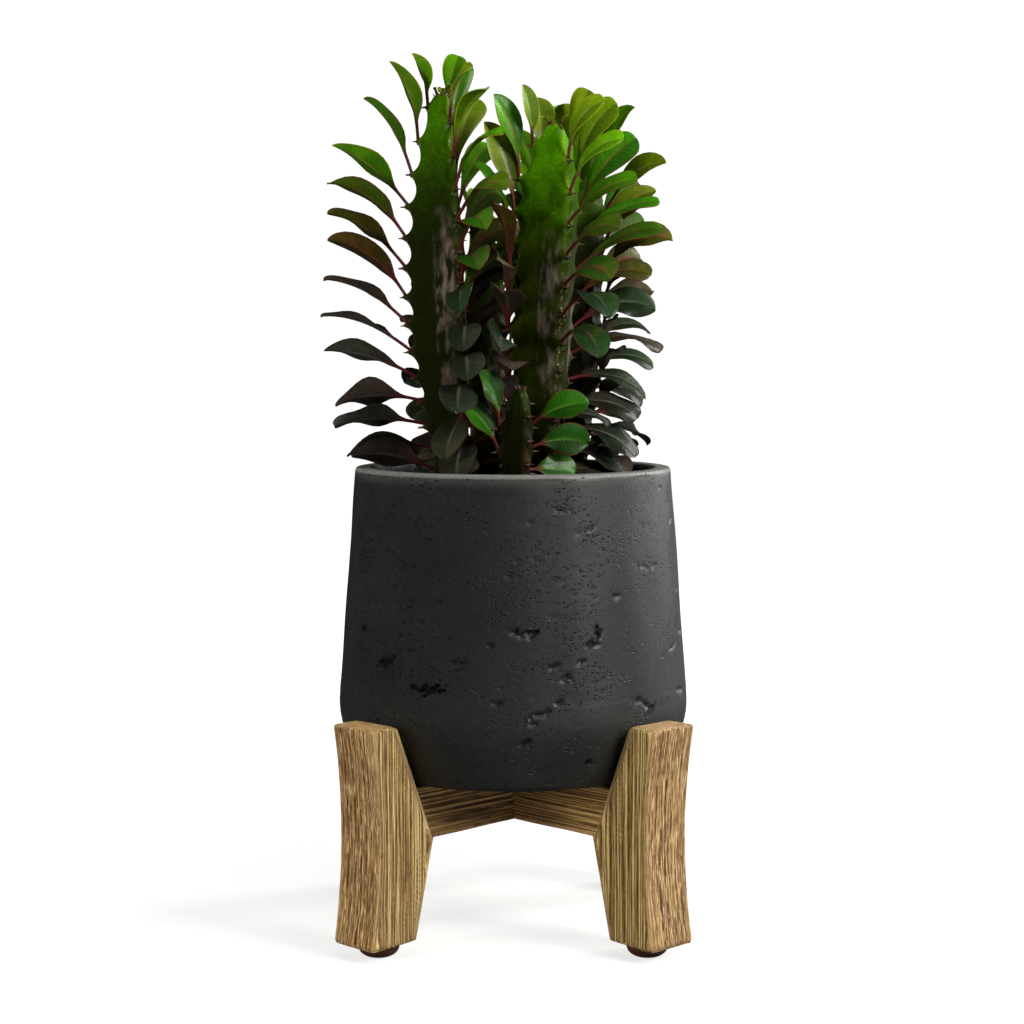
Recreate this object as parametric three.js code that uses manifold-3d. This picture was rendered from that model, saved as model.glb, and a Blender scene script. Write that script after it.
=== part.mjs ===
// A red African milk tree in a round fibre-concrete planter that stands in a four-legged wooden cradle.
// Millimetres, +Z up. X runs to the right of the front view and Y away from it. The ground is z = 0.
// Stems: ribbed columns with scalloped crests. Each node of a rib holds one leaf and a pair of spines.
import * as THREE from 'three';
import { mergeVertices } from 'three/addons/utils/BufferGeometryUtils.js';
import Module from 'manifold-3d';

const wasm = await Module();
wasm.setup();

// Fits
const SEAT_GAP = 0.3; // between faces that touch on the real object

// Planter: narrow rim, widest low down, rounded foot
const POT_AXIS_X = 5; // the leaves reach further left than right, so the pot stands right of the box's middle
const POT_AXIS_Y = 0;
const POT_BASE_Z = 100;
const POT_RIM_Z = 286;
const POT_RIM_RADIUS = 97.4;
const POT_BELLY_RADIUS = 108.3;
const POT_BELLY_Z = 141;
const POT_WALL = 10.2;
const POT_FLOOR = 12;
const RIM_ROUNDING = 1.6;
const POT_SIDES = 40;

// Soil
const SOIL_Z = 269;
const SOIL_DOME = 3.5; // how far the middle stands over the edge
const SOIL_RELIEF = 1.1;
const SOIL_RINGS = 6;
const SOIL_SIDES = 28;

// Cradle: four slab legs on the diagonals, and two bars that cross in a half lap
const LEG_ANGLES = { front_left: 225, front_right: 315, rear_right: 45, rear_left: 135 };
const LEG_THICKNESS = 36;
const LEG_EDGE_BEVEL = 1.2;
const LEG_BOTTOM_Z = 8.5;
const LEG_TOP_Z = 139;
const LEG_OUTER_TOP = 133;
const LEG_OUTER_WAIST = 127.2;
const LEG_WAIST_Z = 78;
const LEG_OUTER_BOTTOM = 133;
const LEG_INNER_TOP = 110.9;
const LEG_INNER_KNEE = 83.5;
const LEG_KNEE_Z = 67.6;
const LEG_INNER_BOTTOM = 96.7;
const BAR_WIDTH = 26.6;
const BAR_BOTTOM_Z = 67.6;
const BAR_TOP_Z = POT_BASE_Z - SEAT_GAP;
const DOWEL_RADIUS = 4;
const DOWEL_LENGTH = 34;
const DOWEL_SIDES = 12;

// Glides under the legs: a dome on a plain shank
const GLIDE_RADIUS = 12.3;
const GLIDE_SOLE_RADIUS = 6.5;
const GLIDE_SHANK_RADIUS = 3;
const GLIDE_SHANK_LENGTH = 14;
const GLIDE_SIDES = 12;

// Growth shared by every stem
const BURIED_DEPTH = 38;
const NODE_SPACING = 13.2; // at the soil
const NODE_SPACING_GROWTH = 0.3; // added to the spacing with each node
const CREST_NOTCH = 4.2; // depth of a scallop between two nodes
const CREST_HALF_WIDTH = 1.5;
const SPINE_LENGTH = 4.6;
const SPINE_RADIUS = 0.75;
const SPINE_ROOT = 1.6;
const CLEANUP = 0.15; // faces closer than this to one plane are merged

// Stems. base and tip are the axis at the soil and at the top, from the pot's axis. bow is the sideways arch.
// ribs are directions in degrees, 0 to the right and 270 towards the front.
// For each rib: swing turns its leaves sideways, roll turns the blade about its own length, droop lowers the
// tips of the lower leaves, and leaf is their length as a share of LEAF_LENGTH.
const STEMS = {
  shoot_front: {
    base: [2, -51], tip: [4.5, -50], bow: [0, 0], top: 335, radius: 13.4, taper: 30, firstNode: 284,
    ribs: [180, 300, 50], swing: [18, 34, -30], sway: [0, 0, 0],
    roll: [-68, 30, 72], droop: [0, 0, 0], lift: [38, 0, -6], arch: [0, 0, 0],
    leaf: [0.56, 0.5, 0.62], leafWidth: 0.9, bare: [0, 3, 10, 11, 12, 13, 23],
  },
  stem_left: {
    base: [-33, -9], tip: [-43.5, -9], bow: [-4.4, 0], top: 511, radius: 24.6, taper: 110, firstNode: 283,
    ribs: [180, 300, 60], swing: [0, 16, 0], sway: [0, -48, 0],
    roll: [28, 30, 38], droop: [0, 66, 30], lift: [0, 4, 8], arch: [0, 34, 0],
    leaf: [1, 0.9, 1], leafWidth: 1, bare: [],
  },
  stem_centre: {
    base: [13.5, -12], tip: [25.5, -14], bow: [0, 0], top: 493, radius: 23.6, taper: 48, firstNode: 280,
    ribs: [188, 300, 38, 112], swing: [12, 26, -26, 0], sway: [44, -30, 0, 0],
    roll: [-64, 36, 48, 0], droop: [60, 62, 34, 10], lift: [18, 0, 0, 0], arch: [0, 26, 0, 0],
    leaf: [0.9, 0.9, 0.94, 0.9], leafWidth: 1.04, bare: [13, 14],
  },
  stem_right: {
    base: [36, 32], tip: [43, 30], bow: [0, 0], top: 492, radius: 21, taper: 60, firstNode: 281,
    ribs: [330, 50, 140, 235], swing: [-6, -14, 0, 0], sway: [-24, 0, 0, 0],
    roll: [40, 56, 0, 0], droop: [48, 30, 10, 20], lift: [0, 0, 0, 0], arch: [20, 0, 0, 0],
    leaf: [0.88, 0.8, 0.84, 0.84], leafWidth: 1.08, bare: [],
  },
  stem_rear: {
    base: [-16, 42], tip: [-20, 46], bow: [0, 2], top: 440, radius: 19, taper: 60, firstNode: 280,
    ribs: [85, 215, 330], swing: [0, 0, 0], sway: [0, 0, 0],
    roll: [0, -30, 30], droop: [0, 20, 20], lift: [0, 0, 0], arch: [0, 0, 0],
    leaf: [0.84, 0.7, 0.84], leafWidth: 0.98, bare: [],
  },
};

// Leaf form, as a share of the leaf's length
const LEAF_LENGTH = 60;
const LEAF_HALF_WIDTH = 10.8;
const LEAF_STEPS = 12;
const LEAF_BEND_POWER = 1.5; // the stalk stays straight and the blade takes most of the bend
const LEAF_FOLD = 19; // degrees that each half blade rises from the midrib
const LEAF_ROOT = 4.5; // how far the stalk runs inside the stem
// Each row across the leaf: place along it, half width as a share of the widest, thickness, points across
const LEAF_ROWS = [
  { place: 0, half: 0.1, thick: 2, points: 2 },
  { place: 0.26, half: 0.3, thick: 1.6, points: 2 },
  { place: 0.72, half: 1, thick: 0.9, points: 3 },
  { place: 0.98, half: 0.58, thick: 0.8, points: 2 },
];
const LEAF_LIFT = 2.2; // the stalk leaves the rib this far above the node's spines
const SPINE_DROP = 2.2;

// A leaf that would meet another stem or its leaves tries these in turn:
// swing and lift in degrees, and the share of its length that it keeps
const DODGES = [
  [0, 0, 1], [0, 10, 1], [15, 0, 1], [-15, 0, 1], [15, 12, 1], [-15, 12, 1], [0, 22, 0.95],
  [30, 8, 0.95], [-30, 8, 0.95], [30, 22, 0.9], [-30, 22, 0.9], [0, 35, 0.8], [45, 15, 0.85], [-45, 15, 0.85],
  [45, 35, 0.8], [-45, 35, 0.8], [0, 50, 0.65], [60, 30, 0.7], [-60, 30, 0.7], [0, 60, 0.5], [70, 50, 0.5],
  [-70, 50, 0.5], [0, 65, 0.35],
];
const LEAF_CLEARANCE = 4.6; // between the sample points of two leaves
const STEM_CLEARANCE = 5.2; // from a rib's tip, which leaves room for the spines
const RIM_CLEARANCE = 3;

const rad = THREE.MathUtils.degToRad;

// 0 up to 1 and back to a plain value: Hermite step between two edges
function smooth(from, to, x) {
  const t = Math.min(1, Math.max(0, (x - from) / (to - from)));
  return t * t * (3 - 2 * t);
}

// A repeatable draw from 0 to 1 for three whole numbers
function draw(a, b, c) {
  let h = Math.imul(a + 1, 0x9e3779b1) ^ Math.imul(b + 7, 0x85ebca6b) ^ Math.imul(c + 13, 0xc2b2ae35);
  h ^= h >>> 15;
  h = Math.imul(h, 0x2c1b3c6d);
  h ^= h >>> 12;
  h = Math.imul(h, 0x297a2d39);
  h ^= h >>> 15;
  return (h >>> 0) / 4294967296;
}

// A draw from -1 to 1
const spread = (a, b, c) => 2 * draw(a, b, c) - 1;

// Solids

function solidOf(geometry) {
  const bare = geometry.clone();
  bare.deleteAttribute('normal');
  bare.deleteAttribute('uv');
  const merged = mergeVertices(bare, 1e-4);
  return new wasm.Manifold(new wasm.Mesh({
    numProp: 3,
    vertProperties: merged.getAttribute('position').array,
    triVerts: new Uint32Array(merged.index.array),
  }));
}

function geometryOf(solid) {
  const mesh = solid.getMesh();
  const geometry = new THREE.BufferGeometry();
  geometry.setAttribute('position', new THREE.BufferAttribute(new Float32Array(mesh.vertProperties), 3));
  geometry.setIndex(new THREE.BufferAttribute(new Uint32Array(mesh.triVerts), 1));
  geometry.computeVertexNormals();
  return geometry;
}

// Joins the pieces to the trunk, then keeps the outer skin of the one body that holds together
function fused(trunk, pieces) {
  let whole = trunk;
  for (const piece of pieces) whole = whole.add(piece);
  const bodies = whole.asOriginal().simplify(CLEANUP).decompose();
  return bodies.reduce((best, next) => (next.volume() > best.volume() ? next : best));
}

function indexed(points, triangles) {
  const geometry = new THREE.BufferGeometry();
  const numbers = points.flatMap((p) => [p.x, p.y, p.z]);
  geometry.setAttribute('position', new THREE.Float32BufferAttribute(numbers, 3));
  geometry.setIndex(triangles);
  return geometry;
}

// Rings of equally many points, stacked upwards and wound counter-clockwise from above,
// closed by a fan at each end
function loft(rings) {
  const sides = rings[0].length;
  const points = rings.flat();
  const triangles = [];
  for (let r = 0; r + 1 < rings.length; r++) {
    for (let k = 0; k < sides; k++) {
      const a = r * sides + k;
      const b = r * sides + ((k + 1) % sides);
      triangles.push(a, b, b + sides, a, b + sides, a + sides);
    }
  }
  const last = (rings.length - 1) * sides;
  const middle = (ring) => ring.reduce((sum, p) => sum.add(p), new THREE.Vector3()).divideScalar(sides);
  const foot = points.push(middle(rings[0])) - 1;
  const crown = points.push(middle(rings[rings.length - 1])) - 1;
  for (let k = 0; k < sides; k++) {
    const next = (k + 1) % sides;
    triangles.push(foot, next, k, crown, last + k, last + next);
  }
  return indexed(points, triangles);
}

// A profile of [radius, z] pairs, from the axis at the bottom round to the axis at the top, turned about Z
function turned(profile, sides, phase = 0) {
  const points = profile.map(([r, z]) => new THREE.Vector2(r, z));
  return new THREE.LatheGeometry(points, sides, phase).rotateX(Math.PI / 2);
}

const materials = {
  planter: new THREE.MeshStandardMaterial({ color: 0x3a3a3b, roughness: 0.85, metalness: 0 }),
  soil: new THREE.MeshStandardMaterial({ color: 0x2a1f18, roughness: 1, metalness: 0 }),
  plant: new THREE.MeshStandardMaterial({ color: 0x2f5a14, roughness: 0.45, metalness: 0 }),
  wood: new THREE.MeshStandardMaterial({ color: 0x9a7a4a, roughness: 0.7, metalness: 0 }),
  dowel: new THREE.MeshStandardMaterial({ color: 0xc9a877, roughness: 0.7, metalness: 0 }),
  glide: new THREE.MeshStandardMaterial({ color: 0x4a2c1c, roughness: 0.5, metalness: 0 }),
};

function named(name, geometry, material) {
  const mesh = new THREE.Mesh(geometry, material);
  mesh.name = name;
  return mesh;
}

// Cradle

// The side view of a leg: x is the distance from the pot's axis, y is the height
function legOutline() {
  const outline = new THREE.Shape();
  outline.moveTo(LEG_INNER_BOTTOM + 3, LEG_BOTTOM_Z);
  outline.lineTo(LEG_OUTER_BOTTOM - 3, LEG_BOTTOM_Z);
  outline.lineTo(LEG_OUTER_BOTTOM, LEG_BOTTOM_Z + 3);
  outline.lineTo(LEG_OUTER_WAIST, LEG_WAIST_Z - 12);
  outline.lineTo(LEG_OUTER_WAIST, LEG_WAIST_Z + 6);
  outline.lineTo(LEG_OUTER_TOP, LEG_TOP_Z - 3);
  outline.lineTo(LEG_OUTER_TOP - 3, LEG_TOP_Z);
  outline.lineTo(LEG_INNER_TOP + 1.5, LEG_TOP_Z - 2);
  outline.lineTo(LEG_INNER_TOP, LEG_TOP_Z - 4);
  outline.lineTo(LEG_INNER_KNEE, LEG_KNEE_Z);
  outline.lineTo(LEG_INNER_BOTTOM, LEG_BOTTOM_Z + 4);
  return outline;
}

// Distance of a leg's inner face from the pot's axis, at a height above the knee
function legInnerFace(z) {
  const share = (z - LEG_KNEE_Z) / (LEG_TOP_Z - 4 - LEG_KNEE_Z);
  return LEG_INNER_KNEE + (LEG_INNER_TOP - LEG_INNER_KNEE) * share;
}

// A cylinder along x, centred on (x, 0, z)
function roundBar(radius, length, x, z) {
  const bar = new THREE.CylinderGeometry(radius, radius, length, DOWEL_SIDES);
  return bar.rotateZ(Math.PI / 2).translate(x, 0, z);
}

const DOWEL_Z = (BAR_BOTTOM_Z + BAR_TOP_Z) / 2;
const DOWEL_X = legInnerFace(DOWEL_Z);
const dowelHole = solidOf(roundBar(DOWEL_RADIUS + SEAT_GAP, DOWEL_LENGTH + 2, DOWEL_X, DOWEL_Z));
const GLIDE_X = 112.5;
const SHANK_HOLE_RADIUS = GLIDE_SHANK_RADIUS + SEAT_GAP;
const shankHole = solidOf(
  new THREE.CylinderGeometry(SHANK_HOLE_RADIUS, SHANK_HOLE_RADIUS, GLIDE_SHANK_LENGTH * 2, DOWEL_SIDES)
    .rotateX(Math.PI / 2)
    .translate(GLIDE_X, 0, LEG_BOTTOM_Z + 1),
);

function legGeometry() {
  const inset = LEG_EDGE_BEVEL;
  const slab = new THREE.ExtrudeGeometry(legOutline(), {
    depth: LEG_THICKNESS - 2 * inset, bevelEnabled: true, bevelThickness: inset, bevelSize: inset,
    bevelOffset: -inset, bevelSegments: 1,
  });
  slab.translate(0, 0, inset - LEG_THICKNESS / 2).rotateX(Math.PI / 2);
  return geometryOf(solidOf(slab).subtract(dowelHole).subtract(shankHole));
}

// A bar along x between two opposite legs, its ends cut to the slope of their inner faces
function barGeometry(notchFromTop) {
  const lowEnd = legInnerFace(BAR_BOTTOM_Z) - SEAT_GAP;
  const highEnd = legInnerFace(BAR_TOP_Z) - SEAT_GAP;
  const halfNotch = BAR_WIDTH / 2 + SEAT_GAP;
  const middle = DOWEL_Z + (notchFromTop ? -SEAT_GAP / 2 : SEAT_GAP / 2);
  const side = new THREE.Shape();
  side.moveTo(-lowEnd, BAR_BOTTOM_Z);
  if (!notchFromTop) {
    side.lineTo(-halfNotch, BAR_BOTTOM_Z);
    side.lineTo(-halfNotch, middle);
    side.lineTo(halfNotch, middle);
    side.lineTo(halfNotch, BAR_BOTTOM_Z);
  }
  side.lineTo(lowEnd, BAR_BOTTOM_Z);
  side.lineTo(highEnd, BAR_TOP_Z);
  if (notchFromTop) {
    side.lineTo(halfNotch, BAR_TOP_Z);
    side.lineTo(halfNotch, middle);
    side.lineTo(-halfNotch, middle);
    side.lineTo(-halfNotch, BAR_TOP_Z);
  }
  side.lineTo(-highEnd, BAR_TOP_Z);
  const plank = new THREE.ExtrudeGeometry(side, { depth: BAR_WIDTH, bevelEnabled: false });
  plank.translate(0, 0, -BAR_WIDTH / 2).rotateX(Math.PI / 2);
  const farHole = dowelHole.rotate([0, 0, 180]);
  return geometryOf(solidOf(plank).subtract(dowelHole).subtract(farHole));
}

function glideGeometry() {
  const top = LEG_BOTTOM_Z - SEAT_GAP;
  const shankTop = LEG_BOTTOM_Z + GLIDE_SHANK_LENGTH;
  const profile = [
    [0, 0], [GLIDE_SOLE_RADIUS, 0], [GLIDE_RADIUS - 1.8, 2.2], [GLIDE_RADIUS, 5], [GLIDE_RADIUS, top],
    [GLIDE_SHANK_RADIUS, top], [GLIDE_SHANK_RADIUS, shankTop], [0, shankTop],
  ];
  return turned(profile, GLIDE_SIDES).translate(GLIDE_X, 0, 0);
}

function cradle() {
  const group = new THREE.Group();
  const leg = legGeometry();
  const glide = glideGeometry();
  const dowel = roundBar(DOWEL_RADIUS, DOWEL_LENGTH, DOWEL_X, DOWEL_Z);
  for (const [corner, angle] of Object.entries(LEG_ANGLES)) {
    const arm = new THREE.Group();
    arm.rotation.z = rad(angle);
    arm.add(named(`leg_${corner}`, leg, materials.wood));
    arm.add(named(`glide_${corner}`, glide, materials.glide));
    arm.add(named(`dowel_${corner}`, dowel, materials.dowel));
    group.add(arm);
  }
  const lower = named('cross_bar_lower', barGeometry(true), materials.wood);
  lower.rotation.z = rad(LEG_ANGLES.rear_right);
  const upper = named('cross_bar_upper', barGeometry(false), materials.wood);
  upper.rotation.z = rad(LEG_ANGLES.rear_left);
  group.add(lower, upper);
  return group;
}

// Planter and soil

// Radius of the planter's outside over the belly, which tapers straight to the rim
function potRadius(z) {
  const share = (z - POT_BELLY_Z) / (POT_RIM_Z - POT_BELLY_Z);
  return POT_BELLY_RADIUS + (POT_RIM_RADIUS - POT_BELLY_RADIUS) * share;
}

const potInside = (z) => potRadius(z) - POT_WALL;

function planterGeometry() {
  const rim = POT_RIM_RADIUS;
  const mouth = rim - POT_WALL;
  const insideFloor = POT_BASE_Z + POT_FLOOR;
  const outside = [
    [0, POT_BASE_Z], [88, POT_BASE_Z], [93.6, POT_BASE_Z + 1.4], [96.7, POT_BASE_Z + 4.4],
    [99, POT_BASE_Z + 9], [102.1, POT_BASE_Z + 16], [105.1, POT_BASE_Z + 24], [107.3, POT_BASE_Z + 32],
    [POT_BELLY_RADIUS, POT_BELLY_Z], [rim, POT_RIM_Z - RIM_ROUNDING], [rim - RIM_ROUNDING, POT_RIM_Z],
  ];
  const inside = [
    [mouth + RIM_ROUNDING, POT_RIM_Z], [mouth, POT_RIM_Z - RIM_ROUNDING],
    [potInside(POT_BELLY_Z + 10), POT_BELLY_Z + 10],
    [92, insideFloor + 12], [84, insideFloor], [0, insideFloor],
  ];
  return turned([...outside, ...inside], POT_SIDES);
}

// Height of the soil's surface: a low dome with clods
function soilHeight(x, y) {
  const edge = Math.hypot(x, y) / potInside(SOIL_Z);
  const clods = Math.sin(x * 0.31 + 1.3) * Math.cos(y * 0.27) + 0.6 * Math.sin(x * 0.13 - y * 0.41);
  return SOIL_Z + SOIL_DOME * (1 - edge * edge) + SOIL_RELIEF * clods * (1 - edge ** 4);
}

function soilGeometry(holes) {
  const insideFloor = POT_BASE_Z + POT_FLOOR + SEAT_GAP;
  const ring = (radius, height) =>
    Array.from({ length: SOIL_SIDES }, (_, k) => {
      const a = (2 * Math.PI * k) / SOIL_SIDES;
      const x = radius * Math.cos(a);
      const y = radius * Math.sin(a);
      return new THREE.Vector3(x, y, height(x, y));
    });
  const shrink = Math.cos(Math.PI / SOIL_SIDES); // keeps the coarser soil inside the planter's facets
  const level = (z) => () => z;
  const rings = [
    ring(83 * shrink, level(insideFloor)),
    ring(91 * shrink, level(insideFloor + 12)),
    ring((potInside(POT_BELLY_Z + 10) - 1) * shrink, level(POT_BELLY_Z + 10)),
  ];
  for (let k = SOIL_RINGS; k > 0; k--) {
    rings.push(ring(((potInside(SOIL_Z) - SEAT_GAP) * shrink * k) / SOIL_RINGS, soilHeight));
  }
  let body = solidOf(loft(rings));
  for (const hole of holes) body = body.subtract(hole);
  return geometryOf(body);
}

// Stem form

// The stem's axis at height z, from the pot's axis
function stemAxis(stem, z) {
  const share = (z - SOIL_Z) / (stem.top - SOIL_Z);
  const arch = share > 0 ? 4 * share * (1 - share) : 0;
  return new THREE.Vector3(
    stem.base[0] + (stem.tip[0] - stem.base[0]) * share + stem.bow[0] * arch,
    stem.base[1] + (stem.tip[1] - stem.base[1]) * share + stem.bow[1] * arch,
    z,
  );
}

// Distance of a rib's crest from the axis before the scallops: slim at the soil, rounded off towards the top
function ribReach(stem, z) {
  const foot = 0.62 + 0.38 * smooth(0, 0.42, (z - SOIL_Z) / (stem.top - SOIL_Z));
  const below = Math.min(1, Math.max(0, (stem.top - z) / stem.taper));
  return stem.radius * foot * (0.28 + 0.72 * Math.sin((Math.PI / 2) * below) ** 0.8);
}

const nodeHeight = (stem, n) => stem.firstNode + NODE_SPACING * n + NODE_SPACING_GROWTH * n * n;

// Every second rib has its nodes half a spacing higher
const ribShift = (rib) => (rib % 2) * 0.5;

const polar = (angle, radius) => new THREE.Vector3(radius * Math.cos(angle), radius * Math.sin(angle), 0);

// One ring of the stem. Each rib gives two crest points and the face beyond it one valley point.
function stemRing(stem, n, notch, grow, fixedZ) {
  const count = stem.ribs.length;
  const ring = [];
  for (let rib = 0; rib < count; rib++) {
    const shift = ribShift(rib);
    const nextShift = ribShift((rib + 1) % count);
    const z = fixedZ ?? Math.min(stem.top, nodeHeight(stem, n + shift));
    const reach = ribReach(stem, z) - notch + grow;
    const angle = rad(stem.ribs[rib]);
    const span = rad((stem.ribs[(rib + 1) % count] - stem.ribs[rib] + 720) % 360);
    const crest = Math.asin(Math.min(0.5, (CREST_HALF_WIDTH + grow) / reach));
    const valleyZ = fixedZ ?? Math.min(stem.top, nodeHeight(stem, n + (shift + nextShift) / 2));
    const valley = (ribReach(stem, valleyZ) + grow) * (0.93 * Math.cos(span / 2) + 0.04);
    ring.push(polar(angle - crest, reach).add(stemAxis(stem, z)));
    ring.push(polar(angle + crest, reach).add(stemAxis(stem, z)));
    ring.push(polar(angle + span / 2, valley).add(stemAxis(stem, valleyZ)));
  }
  return ring;
}

function stemRings(stem, grow = 0) {
  const foot = SOIL_Z - BURIED_DEPTH - grow;
  const rings = [stemRing(stem, 0, 0, grow, foot), stemRing(stem, 0, 1, grow, SOIL_Z - 2)];
  for (let n = 0; nodeHeight(stem, n + 1) < stem.top; n++) {
    rings.push(stemRing(stem, n, 0, grow));
    const notch = CREST_NOTCH * Math.min(1, ribReach(stem, nodeHeight(stem, n)) / 20);
    rings.push(stemRing(stem, n + 0.5, notch, grow));
  }
  rings.push(stemRing(stem, 0, 0, grow, stem.top));
  return rings;
}

// Leaf growth

// The leaf's centre line as frames: point, along, side (to the leaf's left) and up
function leafFrames(root, azimuth, form) {
  const frames = [];
  const point = root.clone();
  const step = form.length / LEAF_STEPS;
  for (let k = 0; k <= LEAF_STEPS; k++) {
    const s = k / LEAF_STEPS;
    const a = rad(azimuth + form.curl * s);
    const p = rad(form.launch + (form.tip - form.launch) * s ** LEAF_BEND_POWER);
    const r = rad(form.roll * smooth(0, 0.35, s));
    const along = new THREE.Vector3(Math.cos(a) * Math.cos(p), Math.sin(a) * Math.cos(p), Math.sin(p));
    const level = new THREE.Vector3(-Math.sin(a), Math.cos(a), 0);
    const above = new THREE.Vector3().crossVectors(along, level);
    const side = level.clone().multiplyScalar(Math.cos(r)).addScaledVector(above, Math.sin(r));
    const up = above.clone().multiplyScalar(Math.cos(r)).addScaledVector(level, -Math.sin(r));
    frames.push({ point: point.clone(), along, side, up });
    point.addScaledVector(along, step);
  }
  return frames;
}

// A point on the leaf: place 0 to 1 along it, across from the midrib in mm, height above the blade in mm
function onLeaf(leaf, place, across, height) {
  const at = Math.min(LEAF_STEPS - 1e-9, Math.max(0, place * LEAF_STEPS));
  const k = Math.floor(at);
  const mix = at - k;
  const a = leaf.frames[k];
  const b = leaf.frames[k + 1];
  const point = a.point.clone().lerp(b.point, mix);
  const side = a.side.clone().lerp(b.side, mix).normalize();
  const up = a.up.clone().lerp(b.up, mix).normalize();
  const fold = rad(LEAF_FOLD);
  return point
    .addScaledVector(side, across * Math.cos(fold))
    .addScaledVector(up, height + Math.abs(across) * Math.sin(fold));
}

// Half width of the blade at a place along the leaf, in mm
function halfWidth(leaf, place) {
  for (let k = 0; k + 1 < LEAF_ROWS.length; k++) {
    const a = LEAF_ROWS[k];
    const b = LEAF_ROWS[k + 1];
    const share = (place - a.place) / (b.place - a.place);
    if (place <= b.place) return leaf.halfWidth * (a.half + (b.half - a.half) * share);
  }
  return leaf.halfWidth * LEAF_ROWS[LEAF_ROWS.length - 1].half;
}

// How a leaf grows at share v of the stem's leafy height: upright near the top, level or hanging low down
function leafForm(stem, salt, rib, n, v) {
  const draws = (k) => spread(salt * 10 + rib, n, k);
  const low = 1 - smooth(0.25, 0.8, v);
  const high = smooth(0.66, 0.92, v);
  const hang = stem.droop[rib] * low;
  const rise = 12 + 38 * smooth(0.1, 0.42, v) + 36 * high + stem.lift[rib];
  const launch = rise - 0.45 * hang + 7 * draws(1);
  const end = -24 + 58 * v ** 1.6 + 18 * high + stem.lift[rib] - stem.arch[rib] * smooth(0.3, 0.6, v);
  const tip = Math.max(-84, end - hang + 12 * draws(2));
  const youth = 1 - 0.42 * smooth(0.86, 1.0, v);
  const vigour = (0.82 + 0.2 * Math.sin(Math.PI * v)) * (1 + 0.07 * draws(3));
  const length = LEAF_LENGTH * stem.leaf[rib] * youth * vigour;
  const breadth = (0.72 + 0.28 * youth) * (1.16 - 0.34 * v) * (1 + 0.08 * draws(7));
  return {
    launch, tip, length,
    curl: 14 * draws(4),
    swing: stem.swing[rib] + stem.sway[rib] * low + 9 * draws(5),
    roll: stem.roll[rib] * (1 - hang / 90) + 20 * draws(6),
    halfWidth: LEAF_HALF_WIDTH * stem.leafWidth * breadth,
  };
}

function samplePoints(leaf) {
  const points = [];
  for (let place = 0.06; place <= 1.001; place += 0.094) {
    const half = halfWidth(leaf, place);
    for (let lane = -1; lane <= 1; lane += 0.5) points.push(onLeaf(leaf, place, lane * half, 0));
  }
  return points;
}

function meetsStem(points, other) {
  return points.some((p) => {
    if (p.z > other.top + STEM_CLEARANCE) return false;
    const axis = stemAxis(other, p.z);
    const reach = ribReach(other, Math.min(p.z, other.top)) + STEM_CLEARANCE;
    return Math.hypot(p.x - axis.x, p.y - axis.y) < reach;
  });
}

function meetsPlanter(points) {
  return points.some((p) => {
    const r = Math.hypot(p.x, p.y);
    if (p.z > POT_RIM_Z + RIM_CLEARANCE) return false;
    return r > potInside(POT_RIM_Z) - RIM_CLEARANCE || p.z < SOIL_Z + SOIL_DOME + RIM_CLEARANCE;
  });
}

function meetsLeaf(points, other) {
  return points.some((p) => other.points.some((q) => p.distanceTo(q) < LEAF_CLEARANCE));
}

// Every leaf of every stem, each in the first pose that is clear of what stands before it
function growLeaves() {
  const grown = [];
  Object.entries(STEMS).forEach(([name, stem], salt) => {
    for (let rib = 0; rib < stem.ribs.length; rib++) {
      for (let n = 0; nodeHeight(stem, n + ribShift(rib)) < stem.top - 3; n++) {
        const leaf = stem.bare.includes(10 * rib + n) ? null : growLeaf(name, stem, salt, rib, n, grown);
        if (leaf) grown.push(leaf);
      }
    }
  });
  return grown;
}

function growLeaf(name, stem, salt, rib, n, grown) {
  const z = nodeHeight(stem, n + ribShift(rib));
  const direction = stem.ribs[rib];
  const form = leafForm(stem, salt, rib, n, (z - stem.firstNode) / (stem.top - stem.firstNode));
  const node = polar(rad(direction), ribReach(stem, z) - 1).add(stemAxis(stem, z + LEAF_LIFT));
  const otherStems = Object.keys(STEMS).filter((other) => other !== name);
  const near = grown.filter((g) => g.stem !== name && g.node.distanceTo(node) < 140);
  for (const [swing, lift, share] of DODGES) {
    const launch = Math.min(86, form.launch + lift);
    const tip = Math.min(86, form.tip + lift);
    const posed = { ...form, launch, tip, length: form.length * share };
    const leaf = { stem: name, n, node, direction, halfWidth: form.halfWidth * share ** 0.5 };
    leaf.frames = leafFrames(node, direction + form.swing + swing, posed);
    leaf.points = samplePoints(leaf);
    const blocked =
      meetsPlanter(leaf.points) ||
      otherStems.some((other) => meetsStem(leaf.points, STEMS[other])) ||
      near.some((g) => meetsLeaf(leaf.points, g));
    if (!blocked) return leaf;
  }
  return null;
}

// Splits the band between two rows of points into triangles, walking both rows together
function stitch(rowA, rowB, triangles) {
  let i = 0;
  let j = 0;
  while (i + 1 < rowA.length || j + 1 < rowB.length) {
    const stepA = i + 1 < rowA.length ? (i + 1) / (rowA.length - 1) : Infinity;
    const stepB = j + 1 < rowB.length ? (j + 1) / (rowB.length - 1) : Infinity;
    if (stepA <= stepB) {
      triangles.push([rowA[i], rowA[i + 1], rowB[j]]);
      i += 1;
    } else {
      triangles.push([rowA[i], rowB[j + 1], rowB[j]]);
      j += 1;
    }
  }
}

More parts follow.
